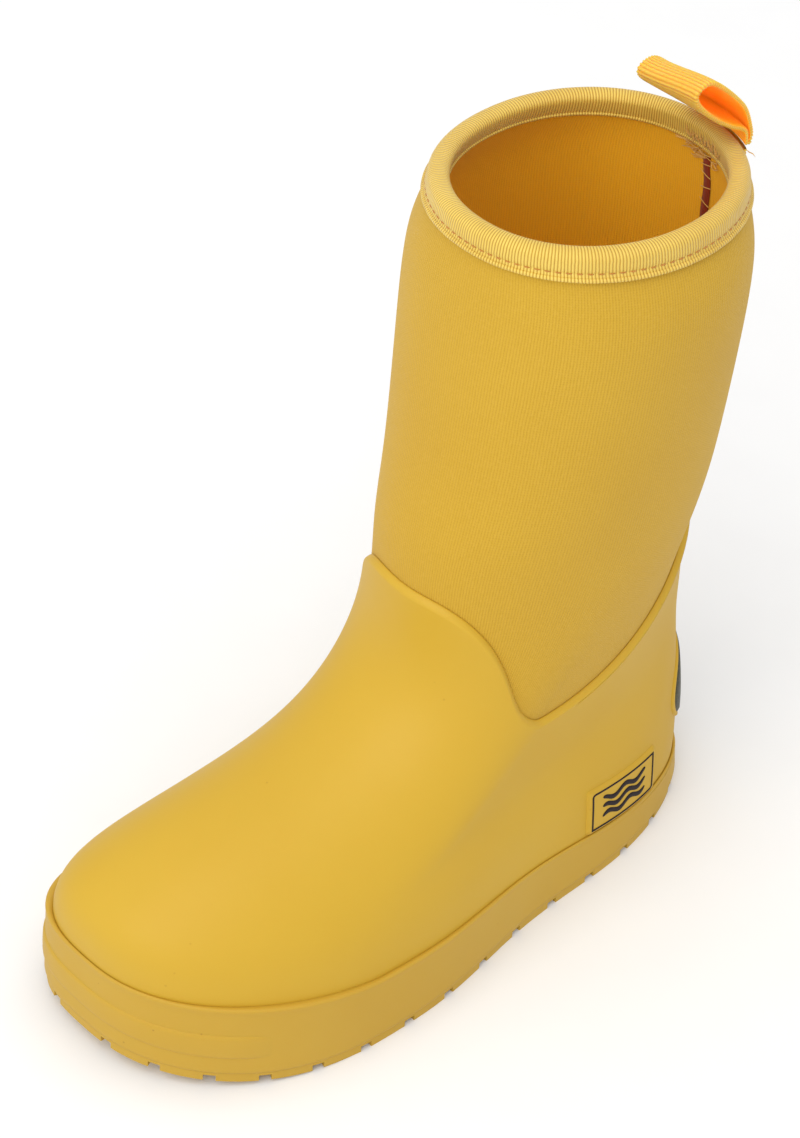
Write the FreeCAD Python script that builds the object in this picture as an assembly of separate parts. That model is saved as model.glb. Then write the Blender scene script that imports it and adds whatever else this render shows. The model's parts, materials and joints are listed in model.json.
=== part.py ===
"""Child's left deck boot: rubber foot, knitted neoprene shaft, bound collar and pull loop.

Frame: millimetres, +Z up, toe towards -Y, outer (lateral) side towards +X.
The origin is on the ground under the middle of the boot's bounding box.
"""
import FreeCAD, Part
import math
import os

os.makedirs("parts", exist_ok=True)

Vector = FreeCAD.Vector

# ---------------------------------------------------------------- driving dimensions (mm)
sole_toe_y = -101.0
sole_heel_y = 100.0
sole_half_width = 41.5
widest_y = -42.0
toe_in = 10.9                 # how far the toe tip swings towards the big toe
toe_in_start_y = -10.0
toe_in_run = 90.0             # length ahead of that start over which the swing is toe_in
waist_y = 22.0
waist_reach = 32.0
waist_narrowing = 0.12        # share of the width lost at the waist
plan_fade_low = 35.0          # the foot's plan shape fades out between these heights
plan_fade_high = 115.0
squareness_outer_toe = 2.35   # 2 is an ellipse, more is squarer
squareness_inner_toe = 2.80
squareness_heel = 2.60
inner_toe_gain = 1.3          # the toe's inner side is this much further from an ellipse

toe_spring = 5.2              # the tread's lift under the toe tip
toe_spring_start_y = -45.0

tread_thickness = 3.1
outsole_inset = 0.45
lug_depth = 2.0
lug_gap = 3.4
lug_pitch = 15.0
glue_gap = 0.15               # clear space where two rubber pieces are glued together
band_top_toe = 31.8
band_top_side = 23.7
band_top_heel = 10.5
band_draft = 0.6              # the band leans in this much towards its top edge
band_foot_width = 2.6
feather_z = 10.0              # the upper's lower edge

rubber_thickness = 2.0
neoprene_thickness = 2.6
layer_gap = 0.2
lining_thickness = 0.75
stiffener_thickness = 0.55

seam_step = 20.0              # degrees between two entries of SEAM_LEVELS

shaft_foot_y = 47.4
shaft_foot_z = 118.2
shaft_length = 101.5
shaft_lean = 4.7              # degrees the shaft leans back
shaft_bend = 1.4
binding_height = 7.1
binding_thickness = 0.75
binding_gap = 0.25            # between the neoprene and the binding's outer leg
binding_lining_gap = 0.4      # between the lining and its inner leg

back_seam_x = 4.5
loop_width = 20.0
webbing_thickness = 1.3
hinge_gap = 0.35

flex_low_level = 7.75         # the soft zone between the stiff foot and the shaft
flex_high_level = 8.55

ring_points = 48
origin_shift = Vector(1.47, -0.40, 0.0)

# ---------------------------------------------------------------- the boot's skin
# The skin is the outer face of the neoprene. It runs through level stations, from the
# feather line at level 0 to the collar's top at the last level. Foot stations hold:
# front y, front z, back y, back z, half width, widest y, side z, squareness front and back.
FOOT_STATIONS = [
    [-97.2, feather_z, 96.2, feather_z, 38.2, widest_y, feather_z, 2.35, 2.6],
    [-97.2, 26.0, 96.5, 22.0, 37.7, widest_y, 20.0, 2.35, 2.6],
    [-96.5, 42.5, 95.5, 38.0, 36.3, -35.0, 32.0, 2.3, 2.55],
    [-83.0, 52.5, 95.0, 52.0, 34.0, -28.0, 40.0, 2.3, 2.5],
    [-60.0, 59.5, 94.5, 66.0, 32.1, -15.0, 46.5, 2.25, 2.4],
    [-22.5, 68.0, 94.0, 82.0, 31.6, 5.0, 58.0, 2.2, 2.3],
    [-2.5, 89.5, 92.5, 98.5, 33.0, 30.0, 85.0, 2.1, 2.2],
]
# Shaft stations: share of the shaft's length, half length along y, half width.
SHAFT_STATIONS = [
    [0.00, 49.0, 36.1],
    [0.25, 47.6, 39.2],
    [0.55, 46.4, 41.2],
    [0.80, 44.9, 41.0],
    [1.0 - binding_height / shaft_length, 43.2, 36.6],
    [1.00, 42.5, 35.0],
]

# Level of the rubber's top edge, every seam_step degrees from the toe round to the heel.
SEAM_LEVELS = [6.81, 6.77, 6.46, 5.95, 5.69, 5.58, 5.70, 6.00, 6.43, 6.91]


def shaft_station(share, half_length, half_width):
    lean = math.radians(shaft_lean)
    y = shaft_foot_y + shaft_length * share * math.sin(lean) + shaft_bend * 4 * share * (1 - share)
    z = shaft_foot_z + shaft_length * share * math.cos(lean)
    tilt = lean * min(1.0, share / 0.5)
    dy = half_length * math.cos(tilt)
    dz = half_length * math.sin(tilt)
    return [y - dy, z + dz, y + dy, z - dz, half_width, y, z, 2.05, 2.05]


STATIONS = FOOT_STATIONS + [shaft_station(*row) for row in SHAFT_STATIONS]
TOP_LEVEL = len(STATIONS) - 1


def spline_bends(values):
    """Second derivatives of the natural cubic spline through evenly spaced values."""
    count = len(values)
    upper = [0.0] * count
    bends = [0.0] * count
    for i in range(1, count - 1):
        share = 4.0 - upper[i - 1]
        upper[i] = 1.0 / share
        step = 6.0 * (values[i + 1] - 2.0 * values[i] + values[i - 1])
        bends[i] = (step - bends[i - 1]) / share
    for i in range(count - 2, 0, -1):
        bends[i] -= upper[i] * bends[i + 1]
    return bends


def spline_value(values, bends, position):
    """The spline's value at a position counted in steps between its values."""
    low = min(max(int(math.floor(position)), 0), len(values) - 2)
    t = position - low
    s = 1.0 - t
    straight = s * values[low] + t * values[low + 1]
    return straight + ((s ** 3 - s) * bends[low] + (t ** 3 - t) * bends[low + 1]) / 6.0


COLUMNS = [list(column) for column in zip(*STATIONS)]
BENDS = [spline_bends(column) for column in COLUMNS]
# The seam's levels go on past the toe and the heel as their own mirror image.
MIRRORED_SEAM = SEAM_LEVELS[2:0:-1] + SEAM_LEVELS + SEAM_LEVELS[-2:-4:-1]
SEAM_BENDS = spline_bends(MIRRORED_SEAM)


def station_at(level):
    """The station's values at any level, from the splines through all stations."""
    return [spline_value(column, bends, level) for column, bends in zip(COLUMNS, BENDS)]


def smooth_step(t):
    t = min(max(t, 0.0), 1.0)
    return t * t * (3.0 - 2.0 * t)


def foot_plan(x, y, z):
    """Bend an even outline into a left foot's: toe swung inwards, waist drawn in."""
    fade = smooth_step((plan_fade_high - z) / (plan_fade_high - plan_fade_low))
    ahead = max(toe_in_start_y - y, 0.0)
    swing = toe_in * (ahead / toe_in_run) ** 2
    waist = math.exp(-((y - waist_y) / waist_reach) ** 2)
    return (x - fade * swing) * (1.0 - fade * waist_narrowing * waist), y, z


def squared_ring(angle, front, back, half_width, wide_y, square_front, square_back):
    """A point of a squared oval and its share towards the front (1) or back (-1)."""
    c = math.cos(angle)
    s = math.sin(angle)
    square = square_back
    if c > 0:
        inner = min((square_front - 2.0) * inner_toe_gain, squareness_inner_toe - squareness_outer_toe)
        square = square_front + (inner if s < 0 else 0.0)
    reach = (abs(c) ** square + abs(s) ** square) ** (-1.0 / square)
    y = wide_y + (front - wide_y if c > 0 else wide_y - back) * reach * c
    share = math.copysign((reach * abs(c)) ** (square / 2.0), c)
    return half_width * reach * s, y, share


def height_wave(share, front, side, back):
    """Height along a ring that passes smoothly through front, side and back heights."""
    middle = (front + back) / 2.0
    tilt = (front - back) / 2.0
    return (middle + side) / 2.0 + tilt * share + (middle - side) / 2.0 * (2.0 * share ** 2 - 1.0)


def skin_point(angle, level):
    front, front_z, back, back_z, half_width, wide_y, side_z, sq_front, sq_back = station_at(level)
    x, y, share = squared_ring(angle, front, back, half_width, wide_y, sq_front, sq_back)
    return Vector(*foot_plan(x, y, height_wave(share, front_z, side_z, back_z)))


def layer_point(angle, level, offset):
    """A point at a distance outside (+) or inside (-) the skin."""
    step = 0.004
    along = skin_point(angle + step, level) - skin_point(angle - step, level)
    up = skin_point(angle, level + step) - skin_point(angle, level - step)
    return skin_point(angle, level) + along.cross(up).normalize() * offset


def angle_of(index):
    return 2.0 * math.pi * index / ring_points


def layer_ring(level_of_angle, offset):
    angles = [angle_of(i) for i in range(ring_points)]
    return [layer_point(a, level_of_angle(a), offset) for a in angles]


def level_at_height(angle, z):
    low, high = 0.0, float(TOP_LEVEL)
    for _ in range(30):
        middle = (low + high) / 2.0
        if skin_point(angle, middle).z < z:
            low = middle
        else:
            high = middle
    return (low + high) / 2.0


def seam_at(angle):
    """Level of the rubber's top edge: high in front and behind, dipped on both sides."""
    side = abs((math.degrees(angle) + 180.0) % 360.0 - 180.0)
    return spline_value(MIRRORED_SEAM, SEAM_BENDS, side / seam_step + 2.0)


def sole_point(angle, inset, z):
    x, y, _ = squared_ring(angle, sole_toe_y + inset, sole_heel_y - inset,
                           sole_half_width - inset, widest_y,
                           squareness_outer_toe, squareness_heel)
    x, y, _ = foot_plan(x, y, 0.0)
    return Vector(x, y, z)


def spring_at(y):
    ahead = max(toe_spring_start_y - y, 0.0)
    return toe_spring * (ahead / (toe_spring_start_y - sole_toe_y)) ** 2


def band_top_at(angle):
    _, _, share = squared_ring(angle, -1.0, 1.0, 1.0, 0.0, squareness_outer_toe, squareness_heel)
    return height_wave(share, band_top_toe, band_top_side, band_top_heel)


# ---------------------------------------------------------------- solids from point rows
def row_curve(points, closed):
    curve = Part.BSplineCurve()
    last = len(points) if closed else len(points) - 1
    parameters = [i / last for i in range(last + 1)]
    curve.interpolate(Points=points, PeriodicFlag=closed, Parameters=parameters)
    return curve


def face_through(rows, closed):
    """A smooth face through rows of points. Two rows are joined by straight lines."""
    curves = [row_curve(row, closed) for row in rows]
    pole_rows = [curve.getPoles() for curve in curves]
    if len(rows) == 2:
        columns = [list(column) for column in zip(*pole_rows)]
        cross_knots, cross_mults, cross_degree = [0.0, 1.0], [2, 2], 1
    else:
        crossings = [row_curve(list(column), False) for column in zip(*pole_rows)]
        columns = [crossing.getPoles() for crossing in crossings]
        cross_knots = crossings[0].getKnots()
        cross_mults = crossings[0].getMultiplicities()
        cross_degree = crossings[0].Degree
    surface = Part.BSplineSurface()
    surface.buildFromPolesMultsKnots(
        columns, curves[0].getMultiplicities(), cross_mults, curves[0].getKnots(), cross_knots,
        closed, False, curves[0].Degree, cross_degree)
    return surface.toShape()


def closed_solid(faces):
    shell = Part.makeShell(faces)
    shell.sewShape()
    solid = Part.makeSolid(shell)
    if solid.Volume < 0:
        solid.reverse()
    if not solid.isValid():
        solid.fix(0.001, 0.001, 0.001)
    return solid


def ring_solid(strips):
    """A solid that runs right round: strips of rings, each ending where the next starts."""
    return closed_solid([face_through(strip, True) for strip in strips])


def wall(bottom, top, inner, outer, rows):
    """A wall right round the boot between two edge lines and two offsets from the skin."""
    def ring(share, offset):
        return layer_ring(lambda a: bottom(a) + (top(a) - bottom(a)) * share, offset)
    shares = [i / (rows - 1) for i in range(rows)]
    outside = [ring(share, outer) for share in shares]
    inside = [ring(share, inner) for share in shares]
    return ring_solid([outside, [outside[-1], inside[-1]], inside, [inside[0], outside[0]]])


def patch_solid(outside, inside):
    """A solid between two open grids of points with the same number of rows and points."""
    def side(pick):
        return face_through([pick(outside), pick(inside)], False)
    return closed_solid([
        face_through(outside, False), face_through(inside, False),
        side(lambda rows: rows[0]), side(lambda rows: rows[-1]),
        side(lambda rows: [row[0] for row in rows]), side(lambda rows: [row[-1] for row in rows])])


def spread(start, end, count):
    return [start + (end - start) * i / (count - 1) for i in range(count)]


def panel(angles, levels, inner, outer):
    """A patch of a layer between two angles (degrees) and two levels."""
    def grid(offset):
        return [[layer_point(math.radians(a), level, offset) for a in spread(*angles, 15)]
                for level in spread(*levels, 9)]
    return patch_solid(grid(outer), grid(inner))


def flat_prism(points, low, high):
    """A closed outline, swept straight up between two heights."""
    outline = [Vector(p.x, p.y, low) for p in points]
    face = Part.Face(Part.Wire([row_curve(outline, True).toShape()]))
    return face.extrude(Vector(0, 0, high - low))


def side_profile(lower, upper, lift_upper=True):
    """A slab across the boot between two heights; the toe end springs up off the ground.

    With lift_upper the slab's upper side springs up too, otherwise it is level.
    """
    half_span = 80.0
    front_y = sole_toe_y - 5.0
    back_y = sole_heel_y + 5.0

    def edges(height, lifted):
        flat_end = Vector(-half_span, toe_spring_start_y, height)
        flat = Part.makeLine(Vector(-half_span, back_y, height), flat_end)
        ys = spread(toe_spring_start_y, front_y, 9)
        rise = [Vector(-half_span, y, height + (spring_at(y) if lifted else 0.0)) for y in ys]
        return [flat, row_curve(rise, False).toShape()], rise[-1]

    below, below_front = edges(lower, True)
    above, above_front = edges(upper, lift_upper)
    front = Part.makeLine(below_front, above_front)
    back = Part.makeLine(Vector(-half_span, back_y, lower), Vector(-half_span, back_y, upper))
    outline = Part.Wire(Part.__sortEdges__(below + above + [front, back]))
    return Part.Face(outline).extrude(Vector(2.0 * half_span, 0, 0))


def sole_ring(inset):
    return [sole_point(angle_of(i), inset, 0.0) for i in range(ring_points)]


# ---------------------------------------------------------------- bottom of the boot
def tread_cutters():
    """Notches round the tread's edge, a channel inside them and bars across the middle."""
    notch_length = 11.0
    channel_inset = 13.0
    channel_width = 2.6
    rim = sole_ring(0.0)
    cutters = []
    travelled = lug_pitch / 2.0
    for here, ahead in zip(rim, rim[1:] + rim[:1]):
        step = ahead - here
        while travelled < step.Length:
            heading = Vector(step).normalize()
            inward = Vector(-heading.y, heading.x, 0.0)
            spot = here + heading * travelled
            block = Part.makeBox(lug_gap, notch_length + 3.0, 30.0,
                                 Vector(-lug_gap / 2.0, -3.0, 0.0))
            block.rotate(Vector(), Vector(0, 0, 1), math.degrees(math.atan2(heading.y, heading.x)))
            if inward.dot(Vector(0, 20, 0) - spot) < 0:
                block.rotate(Vector(), Vector(0, 0, 1), 180)
            block.translate(Vector(spot.x, spot.y, -10.0))
            cutters.append(block)
            travelled += lug_pitch
        travelled -= step.Length
    outside = flat_prism(sole_ring(channel_inset), -10.0, 20.0)
    middle = flat_prism(sole_ring(channel_inset + channel_width), -11.0, 21.0)
    cutters.append(outside.cut(middle))
    for y in range(-70, 80, 12):
        bar = Part.makeBox(120.0, channel_width, 30.0, Vector(-60.0, y, -10.0))
        cutters.append(bar.common(flat_prism(sole_ring(channel_inset), -10.0, 20.0)))
    return cutters


def outsole():
    plate = flat_prism(sole_ring(outsole_inset), 0.0, 20.0).common(side_profile(0.0, tread_thickness))
    lugs = side_profile(-1.0, lug_depth)
    return plate.cut([cutter.common(lugs) for cutter in tread_cutters()])


def midsole():
    top = feather_z - 2 * glue_gap
    core = flat_prism(sole_ring(band_foot_width + 0.4), 0.0, top)
    return core.common(side_profile(tread_thickness + glue_gap, top, False))


def board_prism(clearance, low, high):
    level = level_at_height(math.pi / 2.0, high)
    inside = -(neoprene_thickness + stiffener_thickness + lining_thickness + 2 * layer_gap)
    return flat_prism(layer_ring(lambda a: level, inside - clearance), low, high)


def foxing_band():
    """The rubber strip round the sole, tall at the toe and low at the heel."""
    seat = rubber_thickness + glue_gap
    angles = [angle_of(i) for i in range(ring_points)]
    lows = [spring_at(sole_point(a, 0.0, 0.0).y) + tread_thickness + glue_gap for a in angles]
    highs = [band_top_at(a) for a in angles]

    def outer_row(share):
        return [sole_point(a, band_draft * share, low + (high - low) * share)
                for a, low, high in zip(angles, lows, highs)]

    def inner_row(share):
        tops = [level_at_height(a, high) for a, high in zip(angles, highs)]
        return [layer_point(a, top * share, seat) for a, top in zip(angles, tops)]

    outside = [outer_row(share) for share in spread(0.0, 1.0, 6)]
    inside = [inner_row(share) for share in spread(0.0, 1.0, 6)]
    foot = [sole_point(a, band_foot_width, low) for a, low in zip(angles, lows)]
    return ring_solid([outside, [outside[-1], inside[-1]], inside,
                       [inside[0], foot], [foot, outside[0]]])


def toe_bumper():
    """A thin second strip of rubber across the front of the band."""
    reach = 62.0
    thickness = 0.55
    clearance = 0.08
    low_share = 0.26              # shares of the band's height
    high_share = 0.60

    def grid(proud):
        rows = []
        for share in spread(low_share, high_share, 5):
            row = []
            for degrees in spread(-reach, reach, 25):
                a = math.radians(degrees)
                low = spring_at(sole_point(a, 0.0, 0.0).y) + tread_thickness
                z = low + (band_top_at(a) - low) * share
                row.append(sole_point(a, band_draft * share - proud, z))
            rows.append(row)
        return rows
    return patch_solid(grid(thickness), grid(clearance))


# ---------------------------------------------------------------- the upper's layers
def bottom_edge(angle):
    return 0.0


def foot_shell():
    return wall(bottom_edge, seam_at, layer_gap, rubber_thickness, 15)


def foot_neoprene():
    return wall(bottom_edge, lambda a: flex_low_level, -neoprene_thickness, 0.0, 16)


def foot_lining():
    outer = -(neoprene_thickness + stiffener_thickness + 2 * layer_gap)
    return wall(bottom_edge, lambda a: flex_low_level, outer - lining_thickness, outer, 16)


def stiffener(angles, levels):
    outer = -(neoprene_thickness + layer_gap)
    return panel(angles, levels, outer - stiffener_thickness, outer)


def flex_wall(inner, outer):
    low = flex_low_level + 0.01
    high = flex_high_level - 0.01
    return wall(lambda a: low, lambda a: high, inner, outer, 5)


shaft_top_level = TOP_LEVEL - 0.22     # the neoprene stops under the binding's crown


def shaft_wall(inner, outer):
    return wall(lambda a: flex_high_level, lambda a: shaft_top_level, inner, outer, 10)


SHAFT_LINING_OUTER = -(neoprene_thickness + layer_gap)
SHAFT_LINING_INNER = SHAFT_LINING_OUTER - lining_thickness


# ---------------------------------------------------------------- label and heel badge
def skin_spot(y, z):
    """Angle and level of the skin's point at y and z on the outer side."""
    low, high = 0.4 * math.pi, 0.98 * math.pi
    for _ in range(22):
        middle = (low + high) / 2.0
        level = level_at_height(middle, z)
        if skin_point(middle, level).y < y:
            low = middle
        else:
            high = middle
    return middle, level


label_front_y = 41.0
label_back_y = 71.0
label_low_z = 17.9            # the plate's lower edge at its front end
label_height = 15.6
label_fall = 3.4              # how far the plate drops from front to back
plate_top = rubber_thickness + 0.95
print_height = 0.18


def label_block(left, right, low, high, inner, outer):
    """A block on the side of the heel, given in shares of the label's length and height."""
    def grid(offset):
        rows = []
        for up in spread(low, high, 4):
            row = []
            for along in spread(left, right, 7):
                y = label_front_y + (label_back_y - label_front_y) * along
                z = label_low_z - label_fall * along + label_height * up
                row.append(layer_point(*skin_spot(y, z), offset))
            rows.append(row)
        return rows
    return patch_solid(grid(outer), grid(inner))


def side_label():
    return label_block(0.0, 1.0, 0.0, 1.0, rubber_thickness + 0.12, plate_top)


def side_label_print():
    """A thin frame line and three short bars as a neutral mark."""
    base = plate_top + 0.05
    top = base + print_height
    line_x = 0.016
    line_z = 0.032
    left, right, low, high = 0.06, 0.94, 0.10, 0.90
    blocks = [
        (left, right, low, low + line_z), (left, right, high - line_z, high),
        (left, left + line_x, low + line_z * 1.3, high - line_z * 1.3),
        (right - line_x, right, low + line_z * 1.3, high - line_z * 1.3)]
    for i in range(3):
        blocks.append((0.20 + 0.22 * i, 0.32 + 0.22 * i, 0.30, 0.52 + 0.09 * i))
    return Part.makeCompound([label_block(*block, base, top) for block in blocks])


badge_half_width = 19.6
badge_low_z = 15.6
badge_high_z = 49.4
badge_middle_z = (badge_low_z + badge_high_z) / 2.0
badge_half_height = (badge_high_z - badge_low_z) / 2.0
badge_edge = 1.15             # how far the badge's edge and dome stand proud of the rubber
badge_dome = 0.95
badge_rim_width = 1.0
badge_rim_height = 0.75


def badge_prism(margin):
    """An oval bar along y through the back of the heel, margin wider than the badge."""
    centre = Vector(0, 60, badge_middle_z)
    radii = [badge_half_width + margin, badge_half_height + margin]
    edge = Part.Ellipse(centre, max(radii), min(radii)).toShape()
    edge.rotate(centre, Vector(1, 0, 0), 90)
    return Part.Face(Part.Wire([edge])).extrude(Vector(0, 60, 0))


def heel_patch(inner, outer_at):
    """A block on the back of the heel whose outer face stands at outer_at(x, z)."""
    margin = 4.0
    rows_in, rows_out = [], []
    for z in spread(badge_low_z - margin, badge_high_z + margin, 9):
        row_in, row_out = [], []
        for degrees in spread(140.0, 220.0, 17):
            a = math.radians(degrees)
            level = level_at_height(a, z)
            row_in.append(layer_point(a, level, inner))
            row_out.append(layer_point(a, level, outer_at(skin_point(a, level).x, z)))
        rows_in.append(row_in)
        rows_out.append(row_out)
    return patch_solid(rows_out, rows_in)


def lens_height(x, z):
    away = (x / badge_half_width) ** 2 + ((z - badge_middle_z) / badge_half_height) ** 2
    return rubber_thickness + badge_edge + badge_dome * max(1.0 - away, -1.0)


def heel_badge():
    return heel_patch(rubber_thickness + glue_gap, lens_height).common(badge_prism(-0.1))


def heel_badge_rim():
    rim = heel_patch(rubber_thickness + glue_gap, lambda x, z: rubber_thickness + badge_rim_height)
    return rim.common(badge_prism(badge_rim_width).cut(badge_prism(0.0)))


# ---------------------------------------------------------------- collar
def collar_point(angle, outward, below):
    """A point beside the collar's top ring, moved level outward and down the shaft."""
    step = 0.01
    level = TOP_LEVEL - below / binding_height
    along = skin_point(angle + step, TOP_LEVEL) - skin_point(angle - step, TOP_LEVEL)
    away = Vector(along.y, -along.x, 0.0).normalize()
    return skin_point(angle, level) + away * outward


BINDING_OUTER = binding_gap + binding_thickness
BINDING_INNER = SHAFT_LINING_INNER - binding_lining_gap - binding_thickness


def collar_ring(outward, below):
    return [collar_point(angle_of(i), outward, below) for i in range(ring_points)]


def collar_binding():
    """Tape folded over the collar's edge: outer leg, round crown and inner leg."""
    outer = BINDING_OUTER
    inner = BINDING_INNER
    crown = [(outer, 1.5), (outer - 0.25, 0.6), (outer - 1.2, 0.05), (inner + 1.2, 0.05),
             (inner + 0.25, 0.6), (inner, 1.5)]
    crown_rows = [collar_ring(*spot) for spot in crown]
    ceiling = 1.45
    inner_leg = binding_height - 0.2
    corners = [(inner, inner_leg), (inner + binding_thickness, inner_leg),
               (inner + binding_thickness, ceiling), (binding_gap, ceiling),
               (binding_gap, binding_height), (outer, binding_height)]
    rows = [crown_rows[-1]] + [collar_ring(*spot) for spot in corners] + [crown_rows[0]]
    return ring_solid([crown_rows] + [list(pair) for pair in zip(rows, rows[1:])])


def thread(start, end, radius):
    """A short straight stitch with a round section."""
    run = end - start
    return Part.makeCylinder(radius, run.Length, start, run)


def binding_stitches():
    """A row of dashes along the binding's lower edge."""
    dashes = 84
    radius = 0.2
    below = 5.6
    proud = BINDING_OUTER + 2.0 * radius
    pitch = 2.0 * math.pi / dashes
    dash = 0.62 * pitch
    stitches = []
    for i in range(dashes):
        start = pitch * i
        under_loop = abs(math.degrees(start) - 180.0 + back_seam_x) < 20.0
        if not under_loop:
            ends = [collar_point(angle, proud, below) for angle in (start, start + dash)]
            stitches.append(thread(*ends, radius))
    return Part.makeCompound(stitches)


# ---------------------------------------------------------------- back seam inside the shaft
def back_angle(x, level):
    """Angle behind the heel where the skin passes a given x."""
    return math.pi - math.asin(x / station_at(level)[4])


def back_spot(x, level, offset):
    return layer_point(back_angle(x, level), level, offset)


seam_tape_outer = SHAFT_LINING_INNER - 0.08
seam_tape_inner = SHAFT_LINING_INNER - 0.45
seam_tape_width = 3.0
seam_tape_low = 9.0
seam_tape_high = TOP_LEVEL - 1.12


def back_seam_tape():
    half = seam_tape_width / 2.0

    def grid(offset):
        return [[back_spot(back_seam_x + dx, level, offset) for dx in spread(-half, half, 5)]
                for level in spread(seam_tape_low, seam_tape_high, 7)]
    return patch_solid(grid(seam_tape_outer), grid(seam_tape_inner))


def back_seam_stitches():
    """Threads that cross the tape to and fro, all the way down."""
    crossings = 13
    reach = 2.3
    radius = 0.18
    offset = seam_tape_inner - 2.0 * radius
    stitches = []
    levels = spread(seam_tape_low + 0.04, seam_tape_high - 0.04, crossings)
    for i in range(crossings - 1):
        side = reach if i % 2 else -reach
        start = back_spot(back_seam_x + side, levels[i], offset)
        end = back_spot(back_seam_x - side, levels[i + 1] - 0.02, offset)
        stitches.append(thread(start, end, radius))
    return Part.makeCompound(stitches)


def loop_bar_tack():
    """The patch of close stitching inside the binding that holds the pull loop."""
    half_width = 8.5
    clearance = 0.08
    depth = 0.6
    steps = spread(-half_width, half_width, 9)
    angles = [back_angle(back_seam_x + dx, TOP_LEVEL) for dx in steps]

    def grid(inset):
        return [[collar_point(a, BINDING_INNER - inset, below) for a in angles]
                for below in spread(2.0, 6.6, 4)]
    return patch_solid(grid(clearance), grid(depth))


# ---------------------------------------------------------------- pull loop
hinge_y = 100.9
hinge_z = 215.2
root_radius = webbing_thickness
# Centre line of the loop seen from the side, as (y, z) steps from its hinge line.
LOOP_PATH = [(-0.7, 3.6), (-3.1, 7.2), (-6.2, 10.6), (-9.4, 13.9), (-12.6, 17.1), (-15.9, 20.3),
             (-19.2, 23.3), (-22.5, 24.8), (-25.0, 22.9), (-23.7, 19.6), (-20.5, 16.9),
             (-17.2, 14.3), (-13.8, 11.6), (-10.3, 9.2), (-6.7, 7.0), (-2.6, 4.4)]


def webbing_ribbon(path, thickness):
    """A ribbon of webbing along a smooth path of (y, z) points, as wide as the loop."""
    left = back_seam_x - loop_width / 2.0
    centre = row_curve([Vector(left, y, z) for y, z in path], False)
    first, last = centre.FirstParameter, centre.LastParameter
    sides = []
    for side in (0.5, -0.5):
        row = []
        for share in spread(first, last, 61):
            ahead = centre.tangent(share)[0]
            across = Vector(0, -ahead.z, ahead.y)
            row.append(centre.value(share) + across * thickness * side)
        sides.append(row)
    edges = [row_curve(row, False).toShape() for row in sides]
    ends = [Part.makeLine(sides[0][i], sides[1][i]) for i in (0, -1)]
    face = Part.Face(Part.Wire(Part.__sortEdges__(edges + ends)))
    return face.extrude(Vector(loop_width, 0, 0))


def pull_loop():
    """The free part of the loop: a folded ribbon whose two ends meet in a rolled root."""
    path = [(hinge_y + dy, hinge_z + dz) for dy, dz in LOOP_PATH]
    ribbon = webbing_ribbon(path, webbing_thickness)
    left = back_seam_x - loop_width / 2.0
    root = Part.makeCylinder(root_radius, loop_width, Vector(left, hinge_y, hinge_z),
                             Vector(1, 0, 0))
    corners = [(0.95, 0.9), (-0.1, 4.0), (-3.0, 5.0), (-0.95, -0.9)]
    outline = [Vector(left, hinge_y + dy, hinge_z + dz) for dy, dz in corners]
    neck = Part.Face(Part.makePolygon(outline + outline[:1])).extrude(Vector(loop_width, 0, 0))
    return ribbon.fuse([root, neck]).removeSplitter()


def loop_anchor():
    """The sewn tail of the loop, flat against the outside of the binding."""
    left = back_seam_x - loop_width / 2.0
    top = hinge_z - root_radius - hinge_gap
    height = 5.4
    depth = 1.2
    inner_y = hinge_y - 0.7
    strip = Part.makeBox(loop_width, depth, height, Vector(left, inner_y, top - height))
    strip.rotate(Vector(left, hinge_y, top), Vector(1, 0, 0), -shaft_lean)
    return strip


# ---------------------------------------------------------------- writing the parts
def write_part(name, shape):
    shape = shape.copy()
    shape.translate(origin_shift)
    shape.exportStep("parts/%s.step" % name)
    box = shape.BoundBox
    print("%-22s %8.1f mm3 valid %s solids %d  x %.2f %.2f y %.2f %.2f z %.2f %.2f" % (
        name, shape.Volume, shape.isValid(), len(shape.Solids),
        box.XMin, box.XMax, box.YMin, box.YMax, box.ZMin, box.ZMax))


NODES = {
    "outsole": outsole,
    "midsole": midsole,
    "insole_board": lambda: board_prism(0.3, feather_z, feather_z + 2.0),
    "footbed_foam": lambda: board_prism(1.3, feather_z + 2.3, feather_z + 6.3),
    "footbed_cover": lambda: board_prism(1.3, feather_z + 6.35, feather_z + 7.15),
    "foxing_band": foxing_band,
    "toe_bumper": toe_bumper,
    "foot_shell": foot_shell,
    "foot_neoprene": foot_neoprene,
    "foot_lining": foot_lining,
    "toe_stiffener": lambda: stiffener((-66.0, 66.0), (0.3, 3.9)),
    "heel_counter": lambda: stiffener((128.0, 232.0), (0.3, 4.2)),
    "side_label": side_label,
    "side_label_print": side_label_print,
    "heel_badge": heel_badge,
    "heel_badge_rim": heel_badge_rim,
    "flex_zone_neoprene": lambda: flex_wall(-neoprene_thickness, 0.0),
    "flex_zone_lining": lambda: flex_wall(SHAFT_LINING_INNER, SHAFT_LINING_OUTER),
    "shaft_panel": lambda: shaft_wall(-neoprene_thickness, 0.0),
    "shaft_lining": lambda: shaft_wall(SHAFT_LINING_INNER, SHAFT_LINING_OUTER),
    "collar_binding": collar_binding,
    "binding_stitches": binding_stitches,
    "back_seam_tape": back_seam_tape,
    "back_seam_stitches": back_seam_stitches,
    "loop_bar_tack": loop_bar_tack,
    "loop_anchor": loop_anchor,
    "pull_loop": pull_loop,
}

for node_name, build in NODES.items():
    write_part(node_name, build())
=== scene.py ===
import json
import math
import bmesh
import bpy
import numpy as np
from mathutils import Matrix, Vector


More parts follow.
